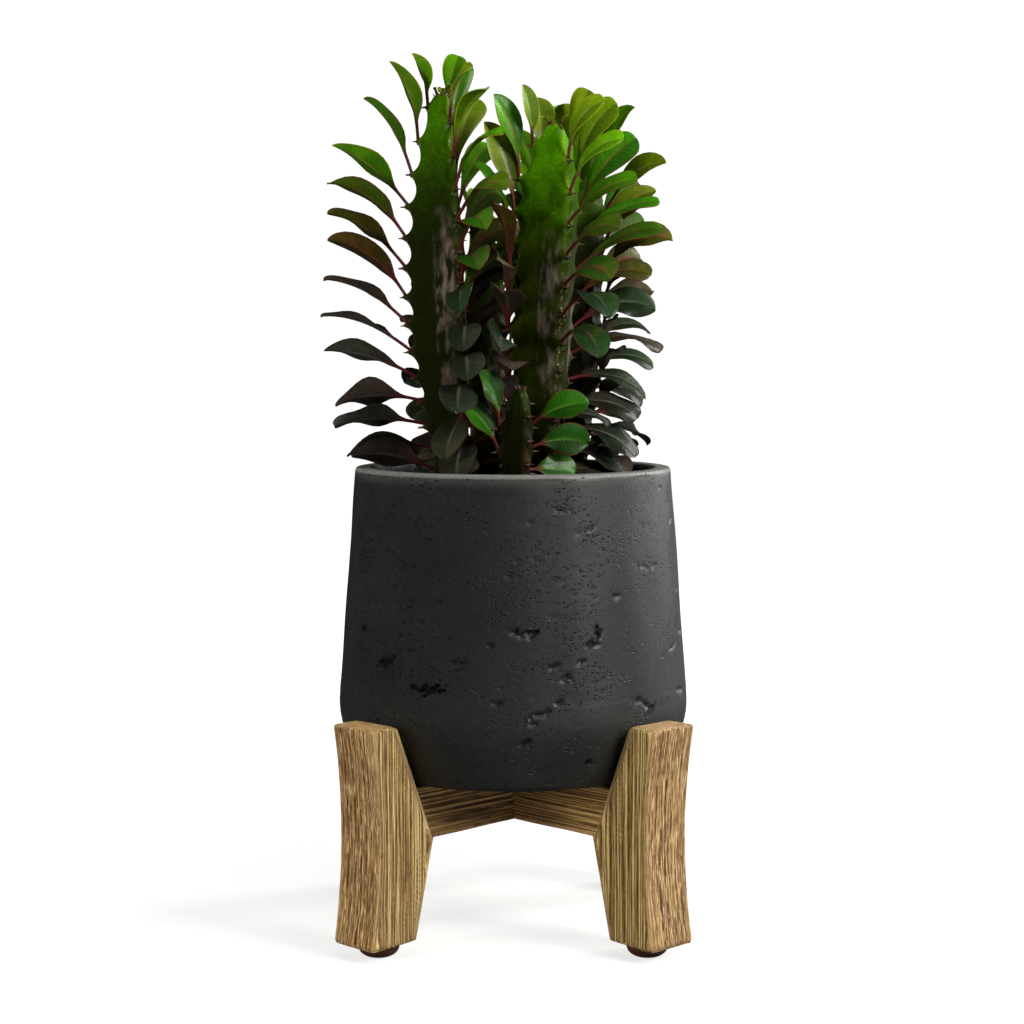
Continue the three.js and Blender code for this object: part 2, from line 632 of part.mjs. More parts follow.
// The leaf as a closed blade: the upper face, the same triangles turned over below it,
// and the edge between them
function leafSolid(leaf) {
  const points = [];
  const upper = [];
  const lower = [];
  LEAF_ROWS.forEach(({ place, thick, points: count }, k) => {
    const half = halfWidth(leaf, place);
    const top = [];
    const under = [];
    for (let c = 0; c < count; c++) {
      const across = half * ((2 * c) / (count - 1) - 1);
      const flat = count === 2 ? Math.abs(across) * Math.sin(rad(LEAF_FOLD)) : 0;
      const pair = [thick / 2 - flat, -thick / 2 - flat].map((height) => onLeaf(leaf, place, across, height));
      if (k === 0) pair.forEach((p) => p.addScaledVector(leaf.frames[0].along, -LEAF_ROOT));
      top.push(points.push(pair[0]) - 1);
      under.push(points.push(pair[1]) - 1);
    }
    upper.push(top);
    lower.push(under);
  });
  const faces = [];
  for (let k = 0; k + 1 < upper.length; k++) stitch(upper[k], upper[k + 1], faces);
  const underside = new Map(upper.flatMap((row, k) => row.map((p, c) => [p, lower[k][c]])));
  const below = (p) => underside.get(p);
  const triangles = faces.flatMap(([a, b, c]) => [a, c, b, below(a), below(b), below(c)]);
  const right = upper.map((row) => row[0]);
  const left = upper.map((row) => row[row.length - 1]).reverse();
  const edge = [...right, ...left];
  edge.forEach((a, k) => {
    const b = edge[(k + 1) % edge.length];
    triangles.push(a, below(a), b, b, below(a), below(b));
  });
  return solidOf(indexed(points, triangles));
}

// A three-sided spine from the node, out and to one side, a little downwards
function spineSolid(leaf, hand) {
  const angle = rad(leaf.direction + hand * 42);
  const along = new THREE.Vector3(Math.cos(angle), Math.sin(angle), -0.12).normalize();
  const across = new THREE.Vector3(-Math.sin(angle), Math.cos(angle), 0);
  const up = new THREE.Vector3().crossVectors(along, across);
  const root = leaf.node.clone().addScaledVector(along, -SPINE_ROOT);
  root.z -= SPINE_DROP;
  const ring = [90, 210, 330].map((degrees) => {
    const right = SPINE_RADIUS * Math.cos(rad(degrees));
    const high = SPINE_RADIUS * Math.sin(rad(degrees));
    return root.clone().addScaledVector(across, right).addScaledVector(up, high);
  });
  const tip = root.clone().addScaledVector(along, SPINE_LENGTH + SPINE_ROOT);
  return solidOf(indexed([...ring, tip], [0, 2, 1, 0, 1, 3, 1, 2, 3, 2, 0, 3]));
}

function plant(leaves) {
  const group = new THREE.Group();
  for (const [name, stem] of Object.entries(STEMS)) {
    const own = leaves.filter((leaf) => leaf.stem === name);
    const repeats = own.flatMap((leaf) => {
      const spines = leaf.n % 2 ? [] : [spineSolid(leaf, -1), spineSolid(leaf, 1)];
      return [leafSolid(leaf), ...spines];
    });
    const body = fused(solidOf(loft(stemRings(stem))), repeats);
    group.add(named(name, geometryOf(body), materials.plant));
  }
  return group;
}

// Assembly

const stemHoles = Object.values(STEMS).map((stem) => solidOf(loft(stemRings(stem, SEAT_GAP + 0.1))));
const part = new THREE.Group();
part.add(cradle());
part.add(named('planter', planterGeometry(), materials.planter));
part.add(named('soil', soilGeometry(stemHoles), materials.soil));
part.add(plant(growLeaves()));
part.position.set(POT_AXIS_X, POT_AXIS_Y, 0);

export default part;
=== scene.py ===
import itertools
import math

import bpy
import numpy as np
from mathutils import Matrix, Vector


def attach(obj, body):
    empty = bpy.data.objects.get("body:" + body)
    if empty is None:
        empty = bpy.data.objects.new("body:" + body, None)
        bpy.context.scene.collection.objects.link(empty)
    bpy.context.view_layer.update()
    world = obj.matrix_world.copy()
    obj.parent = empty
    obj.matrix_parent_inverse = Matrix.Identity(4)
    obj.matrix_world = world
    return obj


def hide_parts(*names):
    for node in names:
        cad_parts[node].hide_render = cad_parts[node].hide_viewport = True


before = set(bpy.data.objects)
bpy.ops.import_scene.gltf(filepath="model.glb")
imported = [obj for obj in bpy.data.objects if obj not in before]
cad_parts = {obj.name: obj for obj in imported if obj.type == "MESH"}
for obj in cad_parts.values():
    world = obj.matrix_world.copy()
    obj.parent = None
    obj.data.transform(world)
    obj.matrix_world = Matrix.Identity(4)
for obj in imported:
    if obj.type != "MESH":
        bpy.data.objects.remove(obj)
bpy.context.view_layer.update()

# Lengths of the pieces are in millimetres from the planter's axis, and angles in degrees.
MM = 0.001
PLANTER_AXIS_X = 5.0  # right of the row's origin, as in the solids


# Camera, floor and light

# name, place, aim, width and height in metres, watts, colour, and whether glossy surfaces mirror it
LAMPS = [
    ("key light", (1.35, -1.0, 1.1), (0, 0, 0.3), (0.6, 0.8), 44, (1.0, 0.985, 0.96), True),
    ("left fill", (-1.6, -0.75, 0.5), (0, 0, 0.15), (0.6, 0.8), 24, (1, 1, 1), False),
    ("top light", (0.2, -0.3, 1.9), (0, 0, 0.2), (0.9, 0.9), 14, (1, 1, 1), False),
    ("right rim light", (1.35, 0.75, 0.85), (0, 0, 0.25), (0.5, 1.1), 26, (1, 1, 1), True),
    ("left rim light", (-1.3, 0.7, 0.75), (0, 0, 0.25), (0.4, 1.1), 8, (1, 1, 1), False),
]


def set_camera():
    """1.34 m in front of the planter, 0.36 m up, tilted down 4.4 degrees."""
    camera = bpy.data.objects.new("camera", bpy.data.cameras.new("camera"))
    bpy.context.scene.collection.objects.link(camera)
    camera.data.lens = 76.04
    camera.data.sensor_width = 36.0
    camera.location = (0.0044, -1.339, 0.361)
    camera.rotation_euler = (math.radians(90 - 4.42), 0, 0)
    bpy.context.scene.camera = camera


def set_lamps():
    for name, place, aim, (width, height), watts, colour, mirrored in LAMPS:
        lamp = bpy.data.lights.new(name, "AREA")
        lamp.shape = "RECTANGLE"
        lamp.size, lamp.size_y = width, height
        lamp.energy = watts
        lamp.color = colour
        holder = bpy.data.objects.new(name, lamp)
        bpy.context.scene.collection.objects.link(holder)
        holder.location = place
        holder.visible_glossy = mirrored
        holder.rotation_euler = (Vector(aim) - Vector(place)).to_track_quat("-Z", "Y").to_euler()


def set_world():
    """A white surround that the camera sees and that hardly lights the plant."""
    world = bpy.data.worlds.new("studio")
    world.use_nodes = True
    world.node_tree.nodes.clear()
    wires = Wiring(world.node_tree)
    seen = wires.node("Background", {"Color": (1, 1, 1), "Strength": 1.05}).outputs[0]
    lit = wires.node("Background", {"Color": (0.97, 0.98, 1), "Strength": 0.03}).outputs[0]
    camera_ray = wires.node("LightPath").outputs["Is Camera Ray"]
    mixed = wires.node("MixShader", {0: camera_ray, 1: lit, 2: seen}).outputs[0]
    wires.node("OutputWorld", {"Surface": mixed})
    bpy.context.scene.world = world
    bpy.context.scene.view_settings.view_transform = "Standard"


def set_floor():
    """White paper that glows to the camera alone, more with distance, until it meets the white behind it."""
    floor = bpy.data.meshes.new("floor")
    floor.from_pydata([(-6, -6, 0), (6, -6, 0), (6, 30, 0), (-6, 30, 0)], [], [(0, 1, 2, 3)])
    ground = bpy.data.objects.new("floor", floor)
    bpy.context.scene.collection.objects.link(ground)
    paper = Finish("floor paper")
    far = paper.node("VectorMath", {0: paper.place()}, operation="LENGTH").outputs["Value"]
    rays = paper.node("LightPath").outputs
    glow = paper.times(paper.spread(far, 0.3, 1.2, 0.70, 1.05), rays["Is Camera Ray"])
    paper.colour = paper.blend(rays["Is Glossy Ray"], (0.31, 0.31, 0.305), (0.06, 0.06, 0.058))
    floor.materials.append(paper.done(
        0.9, Specular_IOR_Level=0.1, Emission_Color=(1, 1, 0.99), Emission_Strength=glow))


# Finishes: a short way to wire shader nodes

class Wiring:
    """Adds nodes to a node tree. A socket or a plain value can go in anywhere."""

    def __init__(self, tree):
        self.tree = tree

    def put(self, socket, value):
        if isinstance(value, bpy.types.NodeSocket):
            self.tree.links.new(value, socket)
        else:
            socket.default_value = (*value, 1) if socket.type == "RGBA" else value

    def node(self, kind, inputs=(), **settings):
        made = self.tree.nodes.new(f"ShaderNode{kind}")
        for key, value in settings.items():
            setattr(made, key, value)
        for key, value in dict(inputs).items():
            self.put(made.inputs[key], value)
        return made

    def maths(self, operation, a, b=0.0, clamp=False):
        return self.node("Math", {0: a, 1: b}, operation=operation, use_clamp=clamp).outputs[0]

    def times(self, value, *others):
        for other in others:
            value = self.maths("MULTIPLY", value, other)
        return value

    def plus(self, a, b):
        return self.maths("ADD", a, b)

    def minus(self, a, b):
        return self.maths("SUBTRACT", a, b)

    def spread(self, value, low, high, new_low=0.0, new_high=1.0):
        """Moves the range from low to high onto the new one, and stops at its ends."""
        inputs = {"Value": value, "From Min": low, "From Max": high, "To Min": new_low, "To Max": new_high}
        return self.node("MapRange", inputs).outputs["Result"]

    def blend(self, share, a, b, mode="MIX"):
        made = self.node("Mix", data_type="RGBA", blend_type=mode)
        for index, value in ((0, share), (6, a), (7, b)):
            self.put(made.inputs[index], value)
        return made.outputs[2]

    def point_values(self, *names):
        return [self.node("Attribute", attribute_name=name).outputs["Fac"] for name in names]

    def place(self, stretch=(1, 1, 1)):
        spot = self.node("TexCoord").outputs["Object"]
        return self.node("Mapping", {"Vector": spot, "Scale": stretch}).outputs["Vector"]

    def vector(self, x=0.0, y=0.0, z=0.0):
        return self.node("CombineXYZ", {"X": x, "Y": y, "Z": z}).outputs[0]

    def noise(self, where, scale, detail=3.0, roughness=0.55, distortion=0.0):
        form = {"Scale": scale, "Detail": detail, "Roughness": roughness, "Distortion": distortion}
        return self.node("TexNoise", {"Vector": where, **form}).outputs["Fac"]

    def ramp(self, value, *stops):
        made = self.node("ValToRGB", {"Fac": value})
        elements = made.color_ramp.elements
        while len(elements) < len(stops):
            elements.new(0.5)
        for element, (at, colour) in zip(elements, stops):
            element.position = at
            element.color = (*colour, 1)
        return made.outputs["Color"]

    def bump(self, height, depth, strength=1.0, under=None):
        inputs = {"Height": height, "Distance": depth, "Strength": strength}
        if under is not None:
            inputs["Normal"] = under
        return self.node("Bump", inputs).outputs["Normal"]

    def effect(self, group, **inputs):
        """The outputs of a shared group. An underscore stands for the space in an input's name."""
        made = self.node("Group", node_tree=group)
        for key, value in inputs.items():
            self.put(made.inputs[key.replace("_", " ")], value)
        return made.outputs

    def blotches(self, where, scale, share, edge, detail=4.0):
        return self.effect(mottle, Vector=where, Scale=scale, Share=share, Edge=edge, Detail=detail)["Mask"]

    def holes(self, where, scale, size, patch_scale):
        return self.effect(pinholes, Vector=where, Scale=scale, Size=size, Patch_Scale=patch_scale)["Depth"]

    def streaks(self, where, broad, fine):
        streaked = self.effect(fibre, Vector=where, Broad=broad, Fine=fine)
        return streaked["Broad Streak"], streaked["Fine Streak"]


class Finish(Wiring):
    """One material: a Principled surface, the nodes that feed it, and the colour painted so far."""

    def __init__(self, name):
        self.material = bpy.data.materials.new(name)
        self.material.use_nodes = True
        super().__init__(self.material.node_tree)
        self.tree.nodes.clear()
        self.surface = self.node("BsdfPrincipled")
        self.node("OutputMaterial", {"Surface": self.surface.outputs[0]})
        self.colour = None

    def paint(self, share, colour):
        self.colour = self.blend(share, self.colour, colour)

    def tint(self, share, colour):
        self.colour = self.blend(share, self.colour, colour, "MULTIPLY")

    def done(self, roughness, normal=None, **more):
        """Feeds the surface and gives the material. An underscore stands for the space in an input's name."""
        inputs = {"Base Color": self.colour, "Roughness": roughness, **more}
        if normal is not None:
            inputs["Normal"] = normal
        for key, value in inputs.items():
            self.put(self.surface.inputs[key.replace("_", " ")], value)
        return self.material


def effect_group(name, inputs, outputs):
    """A node group fed by a vector and plain values, with the wiring and sockets inside it."""
    group = bpy.data.node_groups.new(name, "ShaderNodeTree")
    group.interface.new_socket("Vector", in_out="INPUT", socket_type="NodeSocketVector")
    for label in inputs:
        group.interface.new_socket(label, in_out="INPUT", socket_type="NodeSocketFloat")
    for label in outputs:
        group.interface.new_socket(label, in_out="OUTPUT", socket_type="NodeSocketFloat")
    given = group.nodes.new("NodeGroupInput").outputs
    result = group.nodes.new("NodeGroupOutput").inputs
    return group, Wiring(group), given, result


def make_mottle():
    """Soft blotches: a mask that is 1 in them, by their scale, share of the surface and soft edge."""
    group, wires, given, result = effect_group("mottle", ("Scale", "Share", "Edge", "Detail"), ("Mask",))
    cloud = wires.noise(given["Vector"], given["Scale"], given["Detail"], 0.6)
    threshold = wires.minus(1.0, given["Share"])
    low, high = wires.minus(threshold, given["Edge"]), wires.plus(threshold, given["Edge"])
    wires.put(result["Mask"], wires.spread(cloud, low, high))
    return group


def make_pinholes():
    """Small ragged holes scattered by cells: depth is 1 in a hole's middle."""
    group, wires, given, result = effect_group("pinholes", ("Scale", "Size", "Patch Scale"), ("Depth",))
    where = given["Vector"]
    cloud = wires.node("TexNoise", {"Vector": where, "Scale": 900.0, "Detail": 2.0}).outputs["Color"]
    shift = wires.node("VectorMath", {0: cloud, 1: (0.5, 0.5, 0.5)}, operation="SUBTRACT").outputs[0]
    shift = wires.node("VectorMath", {0: shift, "Scale": 0.0022}, operation="SCALE").outputs[0]
    ragged = wires.node("VectorMath", {0: where, 1: shift}, operation="ADD").outputs[0]
    cells = wires.node("TexVoronoi", {"Vector": ragged, "Scale": given["Scale"]}).outputs
    patch = wires.noise(where, given["Patch Scale"], 2.0)
    lucky = wires.spread(wires.node("SeparateColor", {0: cells["Color"]}).outputs[0], 0.4, 0.6)
    size = wires.plus(wires.times(given["Size"], wires.spread(patch, 0.36, 0.6)), 0.001)
    near = wires.minus(1.0, wires.maths("DIVIDE", cells["Distance"], size))
    wires.put(result["Depth"], wires.times(wires.spread(near, 0.0, 0.7), lucky))
    return group


def make_fibre():
    """Streaks that run along y of the vector: broad and fine ones."""
    group, wires, given, result = effect_group("fibre", ("Broad", "Fine"), ("Broad Streak", "Fine Streak"))
    wires.put(result["Broad Streak"], wires.noise(given["Vector"], given["Broad"], 2.0, 0.5))
    wires.put(result["Fine Streak"], wires.noise(given["Vector"], given["Fine"], 3.0, 0.65))
    return group


mottle = make_mottle()
pinholes = make_pinholes()
fibre = make_fibre()


def concrete_finish():
    f = Finish("charcoal fibre concrete")
    where = f.place()
    pit, rim = f.point_values("pit", "rim")
    dust = f.blotches(where, 420.0, 0.36, 0.06)
    tiny = f.holes(f.place((1, 1, 1.7)), 430.0, 0.45, 34.0)
    small = f.holes(f.place((1, 1, 2.6)), 190.0, 0.36, 26.0)
    clouds = f.blotches(where, 26.0, 0.5, 0.22)
    f.colour = f.blend(clouds, (0.0098, 0.0110, 0.0102), (0.0156, 0.0166, 0.0158))
    f.paint(f.times(dust, 0.4), (0.026, 0.0265, 0.026))
    # painted highlight: the lip and the top of the outside are painted lighter where the top light falls on
    # them, varied by the dust
    f.paint(rim, f.blend(dust, (0.17, 0.168, 0.152), (0.28, 0.276, 0.252)))
    # painted shade: the pinholes and the pits are painted near black, as shade falls in them
    dots = f.times(f.maths("MAXIMUM", tiny, small), f.spread(pit, 0.3, 0.05))
    hollow = f.maths("MAXIMUM", dots, f.spread(pit, 0.05, 0.55, 0.0, 0.9), clamp=True)
    f.paint(f.times(hollow, 0.8), (0.003, 0.003, 0.004))
    normal = f.bump(f.noise(where, 900.0, 4.0), 0.00012, 0.8)
    normal = f.bump(f.noise(where, 120.0), 0.0005, 0.5, normal)
    normal = f.bump(f.minus(1.0, dots), 0.0008, 0.9, normal)
    return f.done(f.spread(dust, 0.0, 1.0, 0.5, 0.66), normal, Specular_IOR_Level=0.40)


def wood_finish(name, tint):
    """Brushed brown wood. across, deep and along are millimetres over the grain and with it."""
    f = Finish(name)
    across, deep, along, edge, ridge, outer = f.point_values(*WOOD_VALUES)
    drift = f.noise(f.vector(f.times(across, 0.02), f.times(along, 0.012)), 1.0, 1.0)
    lane = f.plus(across, f.times(drift, 3.0))

    def tinted(*colour):
        return tuple(part * share for part, share in zip(colour, tint))

    def grain(pace):
        # a lower pace along the grain draws the marks out longer
        return f.vector(lane, f.times(along, pace), deep)

    broad, fine = f.streaks(grain(0.022), 0.3, 1.45)
    hair = f.noise(grain(0.09), 3.4, 2.0)
    value = f.plus(f.times(broad, 0.35), f.times(fine, 0.65))
    f.colour = f.ramp(
        f.plus(value, f.times(ridge, 0.07)),
        (0.38, tinted(0.060, 0.029, 0.009)), (0.46, tinted(0.165, 0.095, 0.028)),
        (0.54, tinted(0.27, 0.175, 0.056)), (0.66, tinted(0.50, 0.38, 0.15)))
    f.paint(f.spread(fine, 0.56, 0.61, 0.0, 0.75), tinted(0.54, 0.43, 0.18))
    # the outer faces are browner, with stains and flecks, and the side faces have long thin pale lines
    f.tint(1.0, f.blend(outer, (0.60, 0.58, 0.42), (0.72, 0.59, 0.46)))
    lines = f.spread(f.noise(grain(0.006), 1.0, 1.0), 0.53, 0.58)
    f.paint(f.times(lines, f.spread(outer, 1.0, 0.0, 0.25, 0.8)), tinted(0.66, 0.54, 0.24))
    stain = f.blotches(f.place((1, 1, 0.5)), 75.0, 0.52, 0.12, 5.0)
    f.paint(f.times(stain, f.spread(outer, 0.0, 1.0, 0.1, 0.7)), (0.158, 0.072, 0.026))
    f.paint(f.spread(fine, 0.43, 0.38, 0.0, 0.35), (*tinted(0.055, 0.028), 0.010))
    f.paint(f.spread(hair, 0.42, 0.32, 0.0, 0.5), (0.07, 0.030, 0.014))
    flecks = f.spread(f.noise(grain(0.042), 2.1, 3.0, 0.6), 0.54, 0.60)
    f.paint(f.times(flecks, f.spread(outer, 0.0, 1.0, 0.2, 0.85)), tinted(0.66, 0.52, 0.28))
    # the edges are painted lighter: partly sanded wear, partly a painted highlight where light catches the
    # rounded edges
    wear_and_highlight = f.spread(f.noise(f.place(), 160.0), 0.35, 0.6, 0.0, 0.55)
    f.paint(f.times(edge, wear_and_highlight), tinted(0.42, 0.29, 0.13))
    height = f.plus(f.times(fine, 0.7), f.times(hair, 0.3))
    return f.done(f.spread(fine, 0.3, 0.7, 0.5, 0.72), f.bump(height, 0.0012))


def glide_finish():
    f = Finish("brown glide")
    cloud = f.blotches(f.place(), 140.0, 0.45, 0.2)
    f.colour = f.blend(cloud, (0.045, 0.017, 0.008), (0.07, 0.028, 0.014))
    return f.done(f.spread(cloud, 0.0, 1.0, 0.34, 0.5), f.bump(f.noise(f.place(), 700.0), 0.00008, 0.5))


def dowel_finish():
    f = Finish("beech dowel")
    _, streak = f.streaks(f.place((900, 900, 60)), 0.3, 1.0)
    f.colour = f.ramp(streak, (0.35, (0.40, 0.25, 0.12)), (0.65, (0.60, 0.43, 0.24)))
    return f.done(0.65, f.bump(streak, 0.0003, 0.5))


def soil_finish():
    f = Finish("potting soil")
    cloud = f.blotches(f.place(), 190.0, 0.45, 0.15)
    f.colour = f.blend(cloud, (0.012, 0.008, 0.006), (0.035, 0.022, 0.014))
    return f.done(0.95, f.bump(f.noise(f.place(), 500.0, 6.0, 0.7), 0.0015), Specular_IOR_Level=0.2)


def crumb_finish():
    f = Finish("bark crumbs")
    (tone,) = f.point_values("tone")
    f.colour = f.ramp(tone, (0.0, (0.014, 0.009, 0.006)), (0.6, (0.05, 0.028, 0.016)),
                      (0.85, (0.13, 0.08, 0.045)), (1.0, (0.34, 0.29, 0.22)))
    return f.done(0.9, f.bump(f.noise(f.place(), 700.0, 4.0), 0.0008, 0.9))


def stem_finish():
    """Ribbed skin: bright green at the top, dark below, partly painted light and shade, with patches of grey
    bark and pads at the nodes.
    """
    f = Finish("ribbed stem skin")
    names = ("rise", "crest", "pad", "eye", "middle", "cork", "tone")
    rise, crest, pad, eye, middle, cork, tone = f.point_values(*names)
    where = f.place()
    cloud = f.times(f.minus(f.noise(where, 60.0, 4.0), 0.5), 0.3)
    # bright green at the top and nearly black below: partly the skin's own colour, partly painted light at
    # the top and painted shade lower down
    f.colour = f.ramp(
        f.plus(rise, cloud), (0.0, (0.011, 0.014, 0.001)), (0.3, (0.013, 0.020, 0.001)),
        (0.58, (0.018, 0.030, 0.001)), (0.71, (0.022, 0.046, 0.001)), (0.83, (0.040, 0.125, 0.001)),
        (1.0, (0.066, 0.235, 0.001)))
    # feathery pale marks that lean away from the middle of each face
    feather = f.vector(f.times(middle, 2.2), f.plus(f.times(rise, 70.0), middle), tone)
    marks = f.spread(f.noise(feather, 1.7, 4.0, distortion=0.4), 0.52, 0.7)
    f.tint(f.times(marks, f.spread(rise, 0.2, 0.8, 0.7, 0.5)), (2.3, 2.0, 2.0))
    dark = f.blotches(f.place((1, 1, 0.5)), 110.0, 0.46, 0.13)
    f.paint(f.times(dark, f.spread(rise, 0.95, 0.45, 0.25, 0.5)), (0.006, 0.009, 0.001))
    f.tint(f.times(f.blotches(f.place((1, 1, 0.6)), 420.0, 0.44, 0.06, 3.0), 0.4), (0.5, 0.52, 0.5))
    # painted highlight: the crests of the upper stem are painted bright lime where the key light catches them
    bright = f.times(f.spread(crest, 0.45, 1.0, 0.0, 0.5), f.spread(rise, 0.58, 0.82))
    f.paint(bright, (0.13, 0.27, 0.001))
    # the skin below the top is a little darker and browner: partly its own colour, partly painted shade
    f.tint(f.spread(rise, 0.84, 0.7, 0.0, 0.8), (0.86, 0.80, 0.72))
    # painted shade: the stems that stand in shade are painted near black below their tops, by their dark
    # value
    painted_shade = f.maths("MULTIPLY", tone, f.spread(rise, 0.95, 0.66, 0.42, 0.88), clamp=True)
    f.paint(painted_shade, (0.005, 0.006, 0.001))
    streak = f.blotches(f.place((1, 1, 0.3)), 210.0, 0.5, 0.09)
    patch = f.blotches(f.place((1, 1, 0.6)), 70.0, 0.54, 0.08, 2.0)
    bark = f.times(streak, patch, f.spread(cork, 0.1, 0.7))
    f.paint(f.times(bark, 0.9), (0.152, 0.114, 0.092))
    old_crest = f.times(f.spread(crest, 0.3, 1.0, 0.0, 0.6), f.spread(rise, 0.72, 0.5))
    f.paint(old_crest, (0.032, 0.022, 0.006))
    # pale dots along the crests: partly the crest's pale margin, partly painted glints; they fade where shade
    # is painted
    dots = f.times(f.blotches(where, 620.0, 0.42, 0.03, 1.0), f.blotches(where, 70.0, 0.5, 0.1, 1.0))
    dots = f.times(dots, f.spread(crest, 0.94, 0.99, 0.0, 0.7), f.spread(painted_shade, 1.0, 0.6, 0.1, 1.0))
    f.paint(dots, (0.36, 0.38, 0.18))
    scar = f.times(f.spread(pad, 0.45, 0.8, 0.0, 0.6), f.spread(painted_shade, 1.0, 0.5, 0.15, 1.0))
    f.paint(scar, (0.13, 0.22, 0.12))
    f.paint(f.spread(eye, 0.3, 0.6, 0.0, 0.9), (0.018, 0.006, 0.006))
    normal = f.bump(f.noise(where, 420.0, 4.0), 0.0004, 0.6)
    normal = f.bump(f.noise(f.place((1, 1, 0.35)), 150.0, 2.0), 0.0009, 0.5, normal)
    normal = f.bump(bark, 0.0005, 0.8, normal)
    return f.done(f.plus(0.5, f.times(bark, 0.35)), normal, Specular_IOR_Level=0.04)


def leaf_finish():
    """Leaf skin by age, from 0 for a new leaf to 1 for the oldest. A tone of -1 keeps a leaf fresh green."""
    f = Finish("milk tree leaf")
    age, tone, lane, place, upper = f.point_values("age", "tone", "lane", "place", "upper")
    where = f.place()
    cloud = f.noise(where, 75.0)
    years = f.maths("ADD", age, f.times(f.minus(cloud, 0.5), 0.26), clamp=True)
    fresh = f.spread(tone, 0.0, -1.0)
    top = f.ramp(
        years, (0.0, (0.075, 0.215, 0.001)), (0.22, (0.022, 0.130, 0.001)), (0.5, (0.010, 0.060, 0.002)),
        (0.74, (0.009, 0.036, 0.007)), (1.0, (0.0125, 0.016, 0.010)))
    under = f.ramp(
        years, (0.0, (0.085, 0.215, 0.001)), (0.16, (0.024, 0.100, 0.001)), (0.34, (0.022, 0.050, 0.001)),
        (0.55, (0.034, 0.026, 0.002)), (0.8, (0.030, 0.020, 0.012)), (1.0, (0.032, 0.036, 0.027)))
    f.colour = f.blend(upper, under, top)
    brown = f.ramp(
        years, (0.0, (0.110, 0.145, 0.002)), (0.45, (0.05, 0.045, 0.004)), (0.8, (0.042, 0.027, 0.022)))
    f.paint(f.spread(tone, 0.0, 0.7, 0.0, 0.75), brown)
    blush = f.times(f.blotches(where, 60.0, 0.42, 0.2, 1.0), f.spread(fresh, 1.0, 0.0, 0.0, 0.55))
    f.paint(f.times(blush, f.spread(years, 0.2, 0.5), f.spread(years, 0.85, 0.65)), (0.062, 0.022, 0.012))
    # painted shade darkens one half of the blade, the half taken as turned from the light, and the blade
    # near the stalk; painted light brightens it towards the tip
    half = f.times(f.spread(lane, 0.06, -0.06), f.spread(place, 0.2, 0.4, 0.0, 0.8))
    f.tint(half, (0.42, 0.45, 0.42))
    f.tint(f.spread(place, 0.75, 0.3, 0.0, 0.6), (0.6, 0.6, 0.6))
    f.tint(f.spread(place, 0.5, 0.95, 0.0, 0.6), (1.6, 1.5, 1.6))
    # painted light: lighter blotches over the blade stand for the mottled light and highlights on it
    f.tint(f.times(f.blotches(where, 150.0, 0.42, 0.12, 3.0), 0.5), (2.3, 1.85, 1.7))
    away = f.maths("ABSOLUTE", lane)
    # side veins run from the midrib towards the tip
    vein = f.maths("SINE", f.minus(f.times(place, 92.0), f.times(away, 9.0)))
    vein = f.times(f.spread(vein, 0.55, 1.0), f.spread(away, 0.98, 0.6))
    f.paint(f.times(vein, f.spread(years, 0.0, 0.6, 0.12, 0.02)), (0.16, 0.23, 0.05))
    midrib = f.times(f.spread(away, 0.12, 0.04), f.spread(place, 0.98, 0.6))
    rib_colour = f.ramp(years, (0.05, (0.19, 0.24, 0.03)), (0.32, (0.15, 0.040, 0.020)),
                        (0.62, (0.13, 0.028, 0.018)), (0.82, (0.085, 0.095, 0.066)))
    f.paint(f.times(midrib, 0.72), f.blend(fresh, rib_colour, (0.06, 0.15, 0.01)))
    margin = f.times(f.spread(away, 0.9, 0.98), f.spread(place, 0.1, 0.35), 0.85)
    f.paint(margin, f.ramp(years, (0.0, (0.23, 0.30, 0.01)), (0.25, (0.09, 0.020, 0.010)),
                           (0.6, (0.075, 0.016, 0.010)), (0.85, (0.022, 0.020, 0.012))))
    red_rib = f.times(midrib, f.spread(place, 0.6, 0.3), f.minus(1.0, fresh))
    stalk = f.maths("MAXIMUM", f.spread(place, 0.32, 0.16), red_rib)
    f.paint(f.times(stalk, 0.92), (0.085, 0.010, 0.014))
    normal = f.bump(f.plus(f.times(vein, -0.12), f.noise(where, 110.0, 2.0)), 0.0010, 0.55)
    return f.done(f.spread(cloud, 0.3, 0.7, 0.36, 0.5), normal,
                  Coat_Weight=0.10, Coat_Roughness=0.17, Specular_IOR_Level=0.08)


def spine_finish():
    f = Finish("red spine")
    f.colour = f.blend(*f.point_values("place"), (0.09, 0.022, 0.016), (0.022, 0.008, 0.006))
    f.paint(f.times(f.noise(f.place(), 800.0), 0.3), (0.16, 0.10, 0.06))
    return f.done(0.5)


# Pieces: grids of points made into meshes

def smooth(start, end, x):
    t = np.clip((x - start) / (end - start), 0, 1)
    return t * t * (3 - 2 * t)


def at_angle(angle, reach, rise=0.0):
    """The point at an angle in radians and a distance from the upright axis, rise above zero."""
    return np.stack(np.broadcast_arrays(reach * np.cos(angle), reach * np.sin(angle), rise), axis=-1)


def turned(points, angle):
    """Points turned about the upright axis by an angle in radians."""
    c, s = math.cos(angle), math.sin(angle)
    return points @ np.array([[c, s, 0], [-s, c, 0], [0, 0, 1]])


